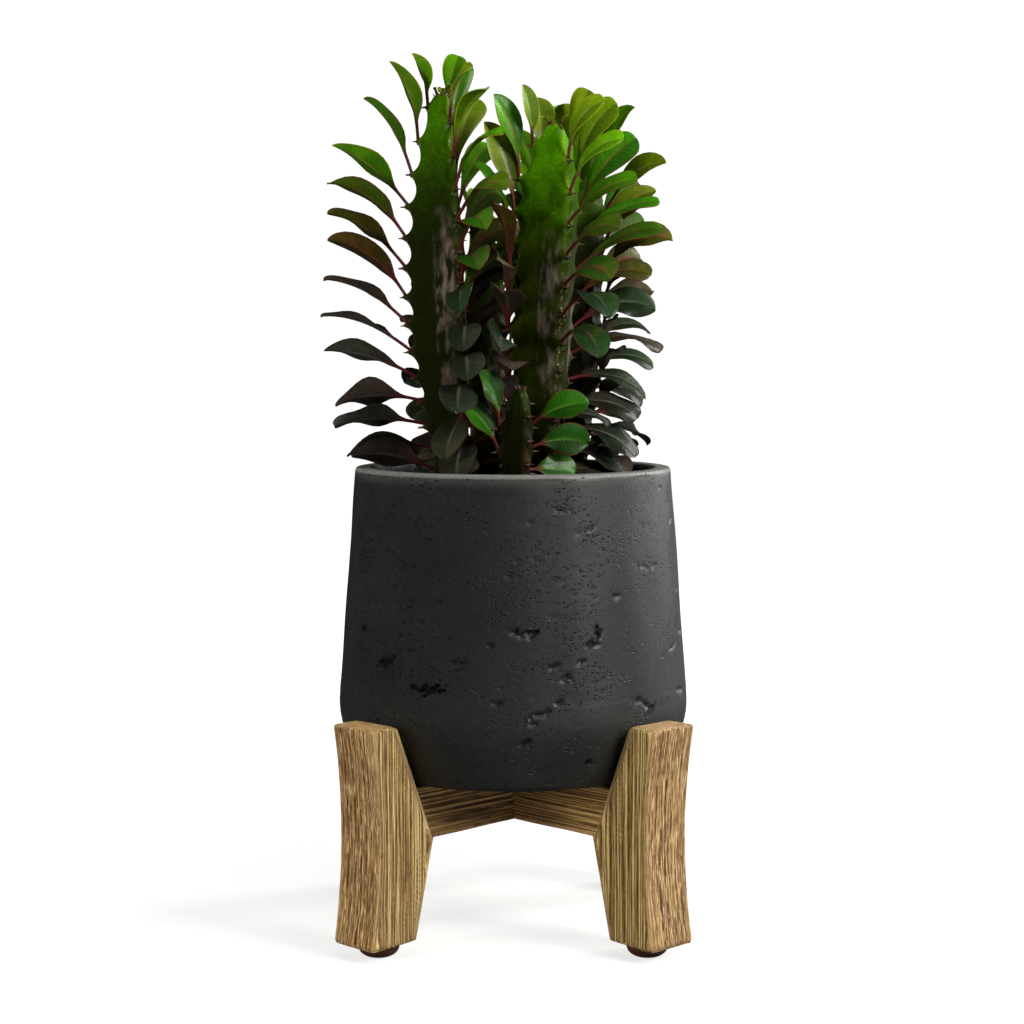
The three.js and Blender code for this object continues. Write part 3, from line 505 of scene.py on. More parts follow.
class Shape:
    """Collects points and faces, with values at each point for the finishes."""

    def __init__(self, *value_names):
        self.points, self.faces, self.slots, self.count = [], [], [], 0
        self.values = {name: [] for name in value_names}

    def add(self, points, faces, slot=0, **values):
        """Faces count from the first of these points. A value is one number, or one for each point."""
        self.points.append(points)
        self.faces += [[self.count + corner for corner in face] for face in faces]
        self.slots += [slot] * len(faces)
        for name, rows in self.values.items():
            rows.append(np.broadcast_to(np.reshape(values.get(name, 0.0), -1), len(points)))
        self.count += len(points)

    def loop_rows(self, points, slot=0, **values):
        """A rows x columns x 3 grid. Each row is a closed loop, and a face closes the first and the last."""
        rows, columns = points.shape[:2]
        here = np.arange(rows * columns).reshape(rows, columns)
        there = np.roll(here, -1, axis=1)
        quads = np.stack([here[:-1], there[:-1], there[1:], here[1:]], axis=-1).reshape(-1, 4)
        faces = quads.tolist() + [here[0, ::-1].tolist(), here[-1].tolist()]
        self.add(points.reshape(-1, 3), faces, slot, **values)

    def piece(self, name, finishes, replaces=(), turn=0.0, sharp=40.0):
        places = turned(np.concatenate(self.points), math.radians(turn))
        mesh = bpy.data.meshes.new(name)
        mesh.from_pydata(((places + (PLANTER_AXIS_X, 0, 0)) * MM).tolist(), [], self.faces)
        for value_name, rows in self.values.items():
            layer = mesh.attributes.new(value_name, "FLOAT", "POINT")
            layer.data.foreach_set("value", np.concatenate(rows).astype(np.float32))
        for finish in finishes:
            mesh.materials.append(finish)
        mesh.polygons.foreach_set("material_index", self.slots)
        mesh.polygons.foreach_set("use_smooth", [True] * len(self.faces))
        mesh.validate()
        mesh.set_sharp_from_angle(angle=math.radians(sharp))
        made = bpy.data.objects.new(name, mesh)
        bpy.context.scene.collection.objects.link(made)
        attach(made, "root")
        if replaces:
            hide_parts(*replaces)


def waves(seed, shortest, longest, count):
    """A smooth random profile: a sum of sine waves between two wavelengths, of about unit height."""
    rng = np.random.default_rng(seed)
    lengths = np.exp(rng.uniform(math.log(shortest), math.log(longest), count))
    phases = rng.uniform(0, 2 * math.pi, (2, count))
    sizes = rng.uniform(0.5, 1.0, count)
    sizes /= math.sqrt(np.sum(sizes**2) / 2)

    def profile(across, along=0.0):
        total = 0.0
        for length, phase, lean, size in zip(lengths, *phases, sizes):
            drift = 0.9 * np.sin(along * 0.035 + lean) + 0.4 * np.sin(along * 0.09 + 2 * lean)
            total = total + size * np.sin(2 * math.pi * across / length + phase + drift)
        return total

    return profile


def profile_curve(points, per_span):
    """A smooth line through [r, z] points."""
    p = np.array(points, float)
    padded = np.vstack([2 * p[0] - p[1], p, 2 * p[-1] - p[-2]])
    out = []
    for k in range(1, len(p)):
        a, b, c, d = padded[k - 1:k + 3]
        for t in np.arange(per_span) / per_span:
            bends = (2 * a - 5 * b + 4 * c - d) * t**2 + (3 * b - a - 3 * c + d) * t**3
            out.append(0.5 * (2 * b + (c - a) * t + bends))
    out.append(p[-1])
    return np.array(out)


def turned_rows(profile, sides):
    """The [r, z] profile swept round the upright axis: a row of points for each of its own."""
    angle = np.linspace(0, 2 * math.pi, sides, endpoint=False)
    return at_angle(angle, profile[:, :1], profile[:, 1:])


# Cradle

LEG_ANGLES = {"front_left": 225, "front_right": 315, "rear_right": 45, "rear_left": 135}
LEG_THICKNESS = 36.0
LEG_BOTTOM, LEG_TOP = 8.5, 139.0
LEG_OUTER_END, LEG_OUTER_WAIST, LEG_WAIST = 133.0, 127.0, 74.0
LEG_INNER_BOTTOM, LEG_KNEE_R, LEG_KNEE, LEG_INNER_TOP = 96.7, 83.5, 67.6, 110.9
BAR_WIDTH, BAR_BOTTOM, BAR_TOP = 26.6, 67.6, 99.7
BAR_GAP = 0.6  # between a bar's end and the leg
NOTCH_GAP = 0.2  # between each bar's notch and the middle of the half lap
GRAIN_OUTER, GRAIN_INNER = 130.0, 90.0  # where straight grain would have a leg's two faces
GLIDE_R = 112.5
GLIDE_DOME = [(4.0, 0.05), (6.5, 0.1), (9.2, 1.2), (11.4, 3.2), (12.3, 5.6), (12.2, 7.4), (11.6, 8.15)]
END_ROUNDING, LEG_EDGE, BAR_EDGE = 2.4, 1.5, 1.6
RIDGE = 0.17  # depth of the brushed grain
WOOD_VALUES = ("across", "deep", "along", "edge", "ridge", "outer")


def leg_outer(z):
    share = (z - LEG_WAIST) / (LEG_TOP - LEG_WAIST)
    return LEG_OUTER_WAIST + (LEG_OUTER_END - LEG_OUTER_WAIST) * share**2


def leg_inner(z):
    lower = LEG_KNEE_R + (LEG_INNER_BOTTOM - LEG_KNEE_R) * (LEG_KNEE - z) / (LEG_KNEE - LEG_BOTTOM - 4)
    upper = LEG_KNEE_R + (LEG_INNER_TOP - LEG_KNEE_R) * (z - LEG_KNEE) / (LEG_TOP - 4 - LEG_KNEE)
    return 0.5 * (lower + upper + np.sqrt((lower - upper) ** 2 + 2.5))


def block_section(low, high, width, inset, rounding, steps):
    """Points round a rounded rectangle, in steps over its width and from low to high, and their edge wear and
    painted edge highlight.
    """
    low, high = np.array([low, -width / 2]) + inset, np.array([high, width / 2]) - inset
    rounding = max(0.3, rounding - inset)
    near, far = low + rounding, high - rounding
    centres = [np.array(centre) for centre in ((far[0], near[1]), far, (near[0], far[1]), near)]
    points, edge = [], []
    for k, (centre, following) in enumerate(zip(centres, centres[1:] + centres[:1])):
        angle = np.radians(90 * k - 90 + np.linspace(0, 90, 5))
        arc = rounding * np.column_stack([np.cos(angle), np.sin(angle)])
        share = np.arange(1, steps[k % 2])[:, None] / steps[k % 2]
        side = centre + arc[-1] + (following - centre) * share
        reach = np.minimum(share, 1 - share)[:, 0] * np.linalg.norm(following - centre)
        points += [centre + arc, side]
        edge += [np.ones(len(arc)), np.exp(-reach / 1.6)]
    return np.concatenate(points), np.concatenate(edge)


def plank(shape, stations, section_at, place_at, seed, bend_of=None):
    """Lofts a wooden member through its sections, with ridges along the grain and closed ends."""
    grain = waves(seed, 1.7, 4.6, 9)
    wear = waves(seed + 1, 14.0, 60.0, 5)
    offcut = 37.0 * (seed % 17), 500.0 * (seed % 13)  # so that no two members share their grain
    rows, values = [], []
    for station, inset in stations:
        points, edge = section_at(station, inset)
        straight = points.copy()
        if bend_of:
            straight[:, 0] -= bend_of(station, points[:, 0])
        tangent = np.roll(points, -1, axis=0) - np.roll(points, 1, axis=0)
        outward = np.stack([tangent[:, 1], -tangent[:, 0]], axis=1)
        outward /= np.linalg.norm(outward, axis=1, keepdims=True)
        across = straight[:, 0] + 0.83 * straight[:, 1]
        ridge = grain(across, station)
        relief = RIDGE * (ridge - 0.8) * (1 - 0.7 * edge) - 0.35 * edge + 0.25 * wear(across, station) * edge
        rows.append(place_at(station, points + outward * relief[:, None]))
        # the ends count as edges for the wear and the painted edge highlight
        wear_and_highlight = np.maximum(edge, min(1.0, inset / END_ROUNDING))
        # the outer face of a leg above its sole
        outer = smooth(0.5, 0.95, outward[:, 0]) * bool(bend_of and station > LEG_BOTTOM)
        values.append([*(straight.T + offcut[0]), 0 * edge + station + offcut[1], wear_and_highlight, ridge, outer])
    layers = np.array(values).swapaxes(0, 1)
    shape.loop_rows(np.array(rows), **dict(zip(WOOD_VALUES, layers)))


def end_stations(low, high, step):
    """Places from low to high and the inset of the section there, which grows at the ends to round them."""
    turns = np.radians(np.linspace(0, 80, 5))
    ends = list(zip(END_ROUNDING * (1 - np.cos(turns)), END_ROUNDING * (1 - np.sin(turns))))
    middle = [(z, 0.0) for z in np.arange(low + END_ROUNDING + 1, high - END_ROUNDING - 1, step)]
    return [(low + d, inset) for d, inset in ends] + middle + [(high - d, inset) for d, inset in ends[::-1]]


def make_leg(corner, seed, finish):
    def section(z, inset):
        return block_section(leg_inner(z), leg_outer(z), LEG_THICKNESS, inset, LEG_EDGE, (46, 54))

    def bend(z, r):
        # how far the faces lean away from straight grain, felt within 5 mm of them
        outer, inner = leg_outer(z), leg_inner(z)
        lean = (outer - GRAIN_OUTER) * smooth(outer - 5, outer - 1, r)
        return lean + (inner - GRAIN_INNER) * smooth(inner + 5, inner + 1, r)

    def place(z, points):
        # the sole rises a little towards the outside
        tilt = 0.8 * (points[:, 0] - GLIDE_R + 0.5) / 20 if z < LEG_BOTTOM + 1 else 0 * points[:, 0]
        return np.column_stack([points, z - tilt])

    shape = Shape(*WOOD_VALUES)
    plank(shape, end_stations(LEG_BOTTOM, LEG_TOP, 3.4), section, place, seed, bend)
    name, node = f"brushed_leg_{corner}", f"leg_{corner}"
    shape.piece(name, [finish], [node], turn=LEG_ANGLES[corner], sharp=75)


def make_bar(name, node, turn, notched_above, seed, finish):
    """A bar with a notch across its middle, in its upper or its lower side."""
    low_end = float(leg_inner(BAR_BOTTOM)) - BAR_GAP
    middle = (BAR_BOTTOM + BAR_TOP) / 2
    half_notch = BAR_WIDTH / 2 + 0.3
    plain = [x for x in np.arange(-low_end, low_end + 1e-6, low_end / 22) if abs(abs(x) - half_notch) > 0.5]
    places = sorted(plain + [side * (half_notch + step) for side in (-1, 1) for step in (-0.02, 0.02)])

    def section(x, inset):
        low, high = BAR_BOTTOM, BAR_TOP
        if abs(x) < half_notch and notched_above:
            high = middle - NOTCH_GAP
        elif abs(x) < half_notch:
            low = middle + NOTCH_GAP
        return block_section(low, high, BAR_WIDTH, inset, BAR_EDGE, (40, 36))

    def place(x, points):
        end = leg_inner(points[:, 0]) - BAR_GAP
        slope = np.sign(x) * (end - low_end) * smooth(66.0, low_end, abs(x))
        return np.column_stack([x + slope, -points[:, 1], points[:, 0]])

    shape = Shape(*WOOD_VALUES)
    plank(shape, [(x, 0.0) for x in places], section, place, seed)
    shape.piece(name, [finish], [node], turn=turn, sharp=60)


def make_glide(corner, finish):
    shape = Shape()
    shape.loop_rows(turned_rows(profile_curve(GLIDE_DOME, 5), 40) + (GLIDE_R, 0, 0))
    shape.piece(f"domed_glide_{corner}", [finish], [f"glide_{corner}"], turn=LEG_ANGLES[corner])


def make_cradle():
    leg_wood = wood_finish("brushed leg wood", (1.2, 1.08, 1.0))
    bar_wood = wood_finish("brushed bar wood", (1.12, 0.88, 0.72))
    glide, dowel = glide_finish(), dowel_finish()
    for number, corner in enumerate(LEG_ANGLES):
        make_leg(corner, 20 + 7 * number, leg_wood)
        make_glide(corner, glide)
        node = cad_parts[f"dowel_{corner}"]
        node.data.materials.clear()
        node.data.materials.append(dowel)
    make_bar("brushed_bar_lower", "cross_bar_lower", 45, True, 61, bar_wood)
    make_bar("brushed_bar_upper", "cross_bar_upper", 135, False, 83, bar_wood)


# Planter

POT_BASE, POT_RIM, POT_RIM_R, POT_BELLY, POT_BELLY_R = 100.0, 286.0, 97.4, 141.0, 108.3
POT_WALL, POT_LIP = 10.2, 1.7
POT_MOUTH = POT_RIM_R - POT_WALL
POT_SIDES = 540
PIT_R = 105.0  # the radius at which a pit's length is measured
DEEPEST = 2.2  # a pit this deep takes the full painted shade of the finish
# the large pits: direction, height, half length, half height, depth and tilt
LARGE_PITS = [
    (243, 161, 8.5, 2.6, 3.0, 4), (237, 162, 4.0, 1.6, 2.0, -10), (275, 195, 6.0, 2.2, 2.2, 8),
    (271, 196, 2.6, 1.6, 1.6, 0), (225, 175, 6.0, 2.6, 2.4, 20), (298, 193, 2.4, 3.4, 2.6, 0),
    (296, 188, 3.4, 1.8, 2.0, 0), (279, 149, 6.0, 1.4, 1.6, 16), (317, 149, 3.0, 1.8, 2.6, -35),
    (319, 145, 2.4, 3.4, 2.8, -40), (314, 152, 3.0, 1.4, 1.8, 0), (274, 132, 4.5, 1.6, 1.8, 20),
    (295, 118, 2.8, 1.8, 2.6, 0), (283, 176, 4.5, 1.3, 1.4, 10), (287, 169, 3.6, 1.5, 1.6, 5),
    (265, 155, 3.5, 1.6, 1.3, 0), (252, 178, 5.0, 1.6, 1.1, 0), (284, 155, 3.4, 1.2, 1.6, 12),
    (276, 143, 4.0, 1.3, 1.4, 6), (292, 178, 3.6, 1.2, 1.4, 10), (211, 192, 3.6, 1.8, 1.8, 0),
    (231, 191, 2.0, 1.2, 1.2, 0), (263, 188, 2.2, 1.4, 1.2, 0), (306, 214, 3.0, 1.1, 1.1, 8),
]
REAR_PITS = 46  # large ones round the sides and back, which the front view doesn't show
SMALL_PITS = 260


def all_pits():
    rng = np.random.default_rng(41)
    rear_ranges = ((-30, 200), (115, 200), (2.5, 7), (0.9, 2.0), (1.0, 2.6), (-10, 20))
    rear = [[rng.uniform(low, high) for low, high in rear_ranges] for _ in range(REAR_PITS)]
    small = []
    for _ in range(SMALL_PITS):
        size = 0.8 + 0.9 * rng.random() ** 3
        small.append((rng.uniform(0, 360), 104 + 172 * rng.random() ** 1.3, size * rng.uniform(1.5, 4.0),
                      size * 0.6, size * 0.55, rng.uniform(-10, 20)))
    return LARGE_PITS + rear + small


def pit_depths(angle, z):
    """How deep the outside is pitted at each point, in millimetres. Each row of points has one height."""
    depth = np.zeros_like(angle)
    ragged = 0.16 * np.sin(z * 2.9 + 9 * angle) + 0.3 * np.sin(angle * 96 - z * 1.1)
    ragged += 1 + 0.16 * np.sin(angle * 151 + z * 1.9)
    for direction, height, half_length, half_height, deep, tilt in all_pits():
        rows = np.nonzero(np.abs(z[:, 0] - height) < half_length + half_height + 2)[0]
        if not len(rows):
            continue
        block = slice(rows[0], rows[-1] + 1)
        turn = (angle[block] - math.radians(direction) + math.pi) % (2 * math.pi) - math.pi
        u, v = turn * PIT_R, z[block] - height
        c, s = math.cos(math.radians(tilt)), math.sin(math.radians(tilt))
        reach = np.sqrt(((u * c + v * s) / half_length) ** 2 + ((v * c - u * s) / half_height) ** 2)
        depth[block] = np.maximum(depth[block], deep * (1 - smooth(0.6, 1.0, reach * ragged[block])))
    return depth


def pot_radius(z):
    return POT_BELLY_R + (POT_RIM_R - POT_BELLY_R) * (z - POT_BELLY) / (POT_RIM - POT_BELLY)


def planter_profile():
    """[r, z] points of the outside, of the rim's rounded top and of the inside."""
    curve = [(86.0, POT_BASE), (91.5, 100.5), (95.4, 102.6), (98.4, 107.2), (102.1, 116), (105.1, 124),
             (107.2, 132), (108.1, 140), (pot_radius(152) + 0.1, 152)]
    base = profile_curve(curve, 7)
    wall_z = np.arange(153.5, POT_RIM - 2.2, 1.3)
    wall = np.column_stack([pot_radius(wall_z), wall_z])
    turns = np.radians(np.linspace(0, 90, 5))
    far, near = POT_LIP * (1 - np.cos(turns)), POT_LIP * (1 - np.sin(turns))
    lip = np.vstack([np.column_stack([POT_RIM_R - far, POT_RIM - near]),
                     [(POT_RIM_R - 2 * POT_LIP, POT_RIM), (POT_MOUTH + 2 * POT_LIP, POT_RIM)],
                     np.column_stack([POT_MOUTH + near, POT_RIM - far])])
    inside = [(POT_MOUTH + 0.3, POT_RIM - 5), (POT_MOUTH + 0.7, 274), (POT_MOUTH + 1.2, 266),
              (POT_MOUTH + 2, 250), (POT_MOUTH + 7, 151), (92, 124), (84, 112.3), (30, 112.2)]
    return np.vstack([(30.0, POT_BASE + 0.02), base, wall]), lip, np.array(inside)


def make_planter():
    outside, lip, inside = planter_profile()
    rows = turned_rows(np.vstack([outside, lip, inside]), POT_SIDES)
    outer = rows[:len(outside)]
    angle, height = np.arctan2(outer[..., 1], outer[..., 0]), outer[..., 2]
    depth = pit_depths(angle, height) * smooth(100.5, 104, height)
    ripple = 0.22 * waves(5, 30, 120, 5)(angle * PIT_R, height) * smooth(102, 112, height)
    radius = np.hypot(outer[..., 0], outer[..., 1])
    outer[..., :2] *= ((radius - depth + ripple) / radius)[..., None]
    pit, rim = np.zeros((2, *rows.shape[:2]))
    pit[:len(outside)] = np.clip(depth / DEEPEST, 0, 1)
    # rim is the share of the painted highlight: a little at the top of the outside, most on the lip
    rim[:len(outside)] = 0.16 * smooth(POT_RIM - 9, POT_RIM - 2, height)
    rim[len(outside):-len(inside)] = 0.75
    shape = Shape("pit", "rim")
    shape.loop_rows(rows, pit=pit, rim=rim)
    shape.piece("planter_shell", [concrete_finish()], ["planter"], sharp=50)


# Soil

SOIL_LEVEL, SOIL_DOME, SOIL_RELIEF = 269.0, 3.5, 1.1
SOIL_R = 86.4
CRUMBS = 520


def soil_height(x, y):
    edge = np.hypot(x, y) / POT_MOUTH
    clods = np.sin(x * 0.31 + 1.3) * np.cos(y * 0.27) + 0.6 * np.sin(x * 0.13 - y * 0.41)
    return SOIL_LEVEL + SOIL_DOME * (1 - edge * edge) + SOIL_RELIEF * clods * (1 - edge**4)


def make_soil():
    radius = np.concatenate([[SOIL_R, SOIL_R], np.linspace(SOIL_R - 0.1, 1.0, 44)])
    rows = turned_rows(np.column_stack([radius, 0 * radius]), 150)
    x, y = rows[..., 0], rows[..., 1]
    crumble = 0.7 * np.sin(x * 1.1 + 2 * np.sin(y * 0.7)) * np.sin(y * 1.3 + 1.5 * np.sin(x * 0.9))
    rows[..., 2] = soil_height(x, y) + crumble
    rows[0, :, 2] = SOIL_LEVEL - 12
    shape = Shape()
    shape.loop_rows(rows)
    shape.piece("soil_surface", [soil_finish()], ["soil"], sharp=80)


def make_crumbs():
    """Bark chips and grit on the soil: twelve-cornered lumps of many sizes and shades."""
    rng = np.random.default_rng(8)
    shape = Shape("tone")
    golden = (1 + math.sqrt(5)) / 2
    first = np.array([(-1, golden, 0), (1, golden, 0), (-1, -golden, 0), (1, -golden, 0)]) / 1.5
    corners = np.vstack([np.roll(first, k, axis=1) for k in range(3)])
    trios = [trio for trio in itertools.combinations(range(12), 3)
             if all(math.dist(corners[a], corners[b]) < 1.4 for a, b in itertools.combinations(trio, 2))]
    sides = [trio if np.linalg.det(corners[list(trio)]) > 0 else trio[::-1] for trio in trios]
    for _ in range(CRUMBS):
        reach, angle = 84 * math.sqrt(rng.random()), rng.uniform(0, 2 * math.pi)
        x, y = reach * math.cos(angle), reach * math.sin(angle)
        size = 0.8 + 2.6 * rng.random() ** 2.5
        form = size * np.array([rng.uniform(0.8, 1.8), rng.uniform(0.6, 1.1), rng.uniform(0.3, 0.8)])
        lump = turned((corners + rng.uniform(-0.4, 0.4, corners.shape)) * form, rng.uniform(0, 2 * math.pi))
        seat = (x, y, float(soil_height(x, y)) + form[2] * 0.4)
        shape.add(lump + seat, sides, tone=rng.random() ** 2)
    shape.piece("bark_crumbs", [crumb_finish()], sharp=30)


# The plant's growth, as in the solids

NODE_SPACING, NODE_SPACING_GROWTH, CREST_NOTCH = 13.2, 0.3, 4.2
LEAF_LENGTH, LEAF_HALF_WIDTH, LEAF_STEPS, LEAF_BEND_POWER, LEAF_FOLD = 60.0, 10.8, 12, 1.5, 19.0
LEAF_ROOT = 4.5  # the stalk starts this deep in the stem
LEAF_LIFT = 2.2  # the stalk leaves the rib this far above the node
LEAF_CLEARANCE, STEM_CLEARANCE, RIM_CLEARANCE = 4.6, 5.2, 3.0
NEIGHBOURHOOD = 140.0  # leaves with roots further apart than this can't meet
STEEPEST = 86
GOLDEN_ANGLE = 137.5

# base and tip are the axis at the soil and at the top, and bow is its sideways arch. ribs are directions,
# 0 to the right and 270 towards the front, and the rows of the same length have a value for each rib. swing
# and sway turn its leaves sideways, sway the lower ones alone. roll turns the blade about its length. droop
# lowers the tips of the lower leaves, lift raises all, and arch bends the upper ones down. leaf is their
# length as a share of LEAF_LENGTH, and ends says how square their ends are. bare lists the nodes without
# a leaf as 10 x rib + node. dark is how much painted shade darkens the stem's skin, most below its top,
# and young is 1 for the shoot.
STEMS = {
    "shoot_front": dict(
        base=(2, -51), tip=(4.5, -50), bow=(0, 0), top=335, radius=13.4, taper=30, first_node=284,
        ribs=(180, 300, 50), swing=(18, 34, -30), sway=(0, 0, 0),
        roll=(-68, 30, 72), droop=(0, 0, 0), lift=(38, 0, -6), arch=(0, 0, 0),
        leaf=(0.56, 0.5, 0.62), leaf_width=0.9, ends=(0.5, 0.5, 0.5),
        bare=(0, 3, 10, 11, 12, 13, 23), dark=1.15, young=1.0),
    "stem_left": dict(
        base=(-33, -9), tip=(-43.5, -9), bow=(-4.4, 0), top=511, radius=24.6, taper=110, first_node=283,
        ribs=(180, 300, 60), swing=(0, 16, 0), sway=(0, -48, 0),
        roll=(28, 30, 38), droop=(0, 66, 30), lift=(0, 4, 8), arch=(0, 34, 0),
        leaf=(1, 0.9, 1), leaf_width=1.0, ends=(0.05, 0.5, 0.95), bare=(), dark=0.85, young=0.0),
    "stem_centre": dict(
        base=(13.5, -12), tip=(25.5, -14), bow=(0, 0), top=493, radius=23.6, taper=48, first_node=280,
        ribs=(188, 300, 38, 112), swing=(12, 26, -26, 0), sway=(44, -30, 0, 0),
        roll=(-64, 36, 48, 0), droop=(60, 62, 34, 10), lift=(18, 0, 0, 0), arch=(0, 26, 0, 0),
        leaf=(0.9, 0.9, 0.94, 0.9), leaf_width=1.04, ends=(0.3, 0.55, 0.95, 0.6),
        bare=(13, 14), dark=0.0, young=0.0),
    "stem_right": dict(
        base=(36, 32), tip=(43, 30), bow=(0, 0), top=492, radius=21, taper=60, first_node=281,
        ribs=(330, 50, 140, 235), swing=(-6, -14, 0, 0), sway=(-24, 0, 0, 0),
        roll=(40, 56, 0, 0), droop=(48, 30, 10, 20), lift=(0, 0, 0, 0), arch=(20, 0, 0, 0),
        leaf=(0.88, 0.8, 0.84, 0.84), leaf_width=1.08, ends=(0.35, 0.85, 0.6, 0.7),
        bare=(), dark=0.85, young=0.0),
    "stem_rear": dict(
        base=(-16, 42), tip=(-20, 46), bow=(0, 2), top=440, radius=19, taper=60, first_node=280,
        ribs=(85, 215, 330), swing=(0, 0, 0), sway=(0, 0, 0),
        roll=(0, -30, 30), droop=(0, 20, 20), lift=(0, 0, 0), arch=(0, 0, 0),
        leaf=(0.84, 0.7, 0.84), leaf_width=0.98, ends=(0.6, 0.7, 0.6), bare=(), dark=0.6, young=0.0),
}

# swing, lift and share of its length that a blocked leaf tries in turn
DODGES = [
    (0, 0, 1), (0, 10, 1), (15, 0, 1), (-15, 0, 1), (15, 12, 1), (-15, 12, 1), (0, 22, 0.95),
    (30, 8, 0.95), (-30, 8, 0.95), (30, 22, 0.9), (-30, 22, 0.9), (0, 35, 0.8), (45, 15, 0.85),
    (-45, 15, 0.85), (45, 35, 0.8), (-45, 35, 0.8), (0, 50, 0.65), (60, 30, 0.7), (-60, 30, 0.7),
    (0, 60, 0.5), (70, 50, 0.5), (-70, 50, 0.5), (0, 65, 0.35),
]


def draw(a, b, c):
    """A repeatable draw from -1 to 1 for three whole numbers, the same as in the solids."""
    whole = 0xFFFFFFFF
    h = ((a + 1) * 0x9E3779B1 ^ (b + 7) * 0x85EBCA6B ^ (c + 13) * 0xC2B2AE35) & whole
    for shift, factor in ((15, 0x2C1B3C6D), (12, 0x297A2D39)):
        h ^= h >> shift
        h = h * factor & whole
    h ^= h >> 15
    return 2 * h / (whole + 1) - 1


def soil_share(stem, z):
    """0 at the soil and 1 at the stem's top."""
    return (z - SOIL_LEVEL) / (stem["top"] - SOIL_LEVEL)


def stem_axis(stem, z):
    share = soil_share(stem, np.asarray(z, float))
    arch = np.where(share > 0, 4 * share * (1 - share), 0)
    runs = zip(stem["base"], stem["tip"], stem["bow"])
    x, y = (low + (high - low) * share + bow * arch for low, high, bow in runs)
    return np.stack([x, y, z + 0 * share], axis=-1)


def rib_reach(stem, z):
    foot = 0.62 + 0.38 * smooth(0, 0.42, soil_share(stem, z))
    below = np.clip((stem["top"] - z) / stem["taper"], 0, 1)
    return stem["radius"] * foot * (0.28 + 0.72 * np.sin((math.pi / 2) * below) ** 0.8)


def rib_shift(rib):
    """Every second rib has its nodes half a step further up."""
    return (rib % 2) * 0.5


def node_height(stem, n):
    return stem["first_node"] + NODE_SPACING * n + NODE_SPACING_GROWTH * n * n


def node_number(stem, z):
    """The other way round: the count of nodes below a height, as a real number."""
    root = np.sqrt(np.maximum(0, NODE_SPACING**2 + 4 * NODE_SPACING_GROWTH * (z - stem["first_node"])))
    return (root - NODE_SPACING) / (2 * NODE_SPACING_GROWTH)


def rib_nodes(stem, rib, margin):
    """The number and height of each node of a rib that is at least margin below the stem's top."""
    for n in itertools.count():
        z = node_height(stem, n + rib_shift(rib))
        if z >= stem["top"] - margin:
            return
        yield n, z


def on_rib(stem, direction, z, sunk, above):
    """A point sunk under the rib's edge at a height, moved above it along the axis."""
    reach = float(rib_reach(stem, z)) - sunk
    return stem_axis(stem, z + above) + at_angle(math.radians(direction), reach)


def leaf_form(stem, salt, rib, n, v):
    """A leaf's angles, bends and size. v is 0 at the stem's first node and 1 at its top."""
    def draws(k):
        return draw(salt * 10 + rib, n, k)

    youth = 1 - 0.42 * smooth(0.86, 1.0, v)
    vigour = (0.82 + 0.2 * math.sin(math.pi * v)) * (1 + 0.07 * draws(3))
    width = (0.72 + 0.28 * youth) * (1.16 - 0.34 * v) * (1 + 0.08 * draws(7))
    low = 1 - smooth(0.25, 0.8, v)
    high = smooth(0.66, 0.92, v)
    hang = stem["droop"][rib] * low
    rise = 12 + 38 * smooth(0.1, 0.42, v) + 36 * high + stem["lift"][rib]
    end = -24 + 58 * v**1.6 + 18 * high + stem["lift"][rib] - stem["arch"][rib] * smooth(0.3, 0.6, v)
    return dict(
        launch=rise - 0.45 * hang + 7 * draws(1),
        tip=max(-84, end - hang + 12 * draws(2)),
        length=LEAF_LENGTH * stem["leaf"][rib] * youth * vigour,
        curl=14 * draws(4),
        swing=stem["swing"][rib] + stem["sway"][rib] * low + 9 * draws(5),
        roll=stem["roll"][rib] * (1 - hang / 90) + 20 * draws(6),
        half_width=LEAF_HALF_WIDTH * stem["leaf_width"] * width,
    )


def leaf_frames(root, azimuth, form, steps=LEAF_STEPS):
    """Points, directions along, to the left and up, at steps + 1 places on the leaf's centre line."""
    s = np.arange(steps + 1) / steps
    a = np.radians(azimuth + form["curl"] * s)
    p = np.radians(form["launch"] + (form["tip"] - form["launch"]) * s**LEAF_BEND_POWER)
    r = np.radians(form["roll"] * smooth(0, 0.35, s))[:, None]
    along = at_angle(a, np.cos(p), np.sin(p))
    level = at_angle(a + math.pi / 2, 1.0)
    above = np.cross(along, level)
    side = level * np.cos(r) + above * np.sin(r)
    up = above * np.cos(r) - level * np.sin(r)
    moved = np.cumsum(along[:-1] * form["length"] / steps, axis=0)
    return root + np.vstack([np.zeros(3), moved]), along, side, up


def on_leaf(frames, place, across, height):
    """Points at places from 0 to 1 along the leaf, across from its midrib and at a height above its blade."""
    points, _, side, up = frames
    steps = len(points) - 1
    at = np.clip(place * steps, 0, steps - 1e-9)
    k = np.floor(at).astype(int)
    mix = (at - k)[..., None]

    def between(rows):
        found = rows[k] * (1 - mix) + rows[k + 1] * mix
        return found / np.linalg.norm(found, axis=-1, keepdims=True)

    fold = math.radians(LEAF_FOLD)
    middle = points[k] * (1 - mix) + points[k + 1] * mix
    return (middle + between(side) * (across * math.cos(fold))[..., None]
            + between(up) * (height + np.abs(across) * math.sin(fold))[..., None])


# Sample points of the clearance test: eleven places along the leaf, and five lanes across it
TEST_PLACES = np.repeat(0.06 + 0.094 * np.arange(11), 5)
TEST_LANES = np.tile(np.linspace(-1, 1, 5), 11)
TEST_HALF = np.interp(TEST_PLACES, [0, 0.26, 0.72, 0.98], [0.1, 0.3, 1.0, 0.58])


def meets_stem(points, other):
    z = points[:, 2]
    away = points - stem_axis(other, z)
    reach = rib_reach(other, np.minimum(z, other["top"])) + STEM_CLEARANCE
    return bool(np.any((z <= other["top"] + STEM_CLEARANCE) & (np.hypot(away[:, 0], away[:, 1]) < reach)))


def meets_planter(points):
    r, z = np.hypot(points[:, 0], points[:, 1]), points[:, 2]
    blocked = (r > POT_MOUTH - RIM_CLEARANCE) | (z < SOIL_LEVEL + SOIL_DOME + RIM_CLEARANCE)
    return bool(np.any((z <= POT_RIM + RIM_CLEARANCE) & blocked))


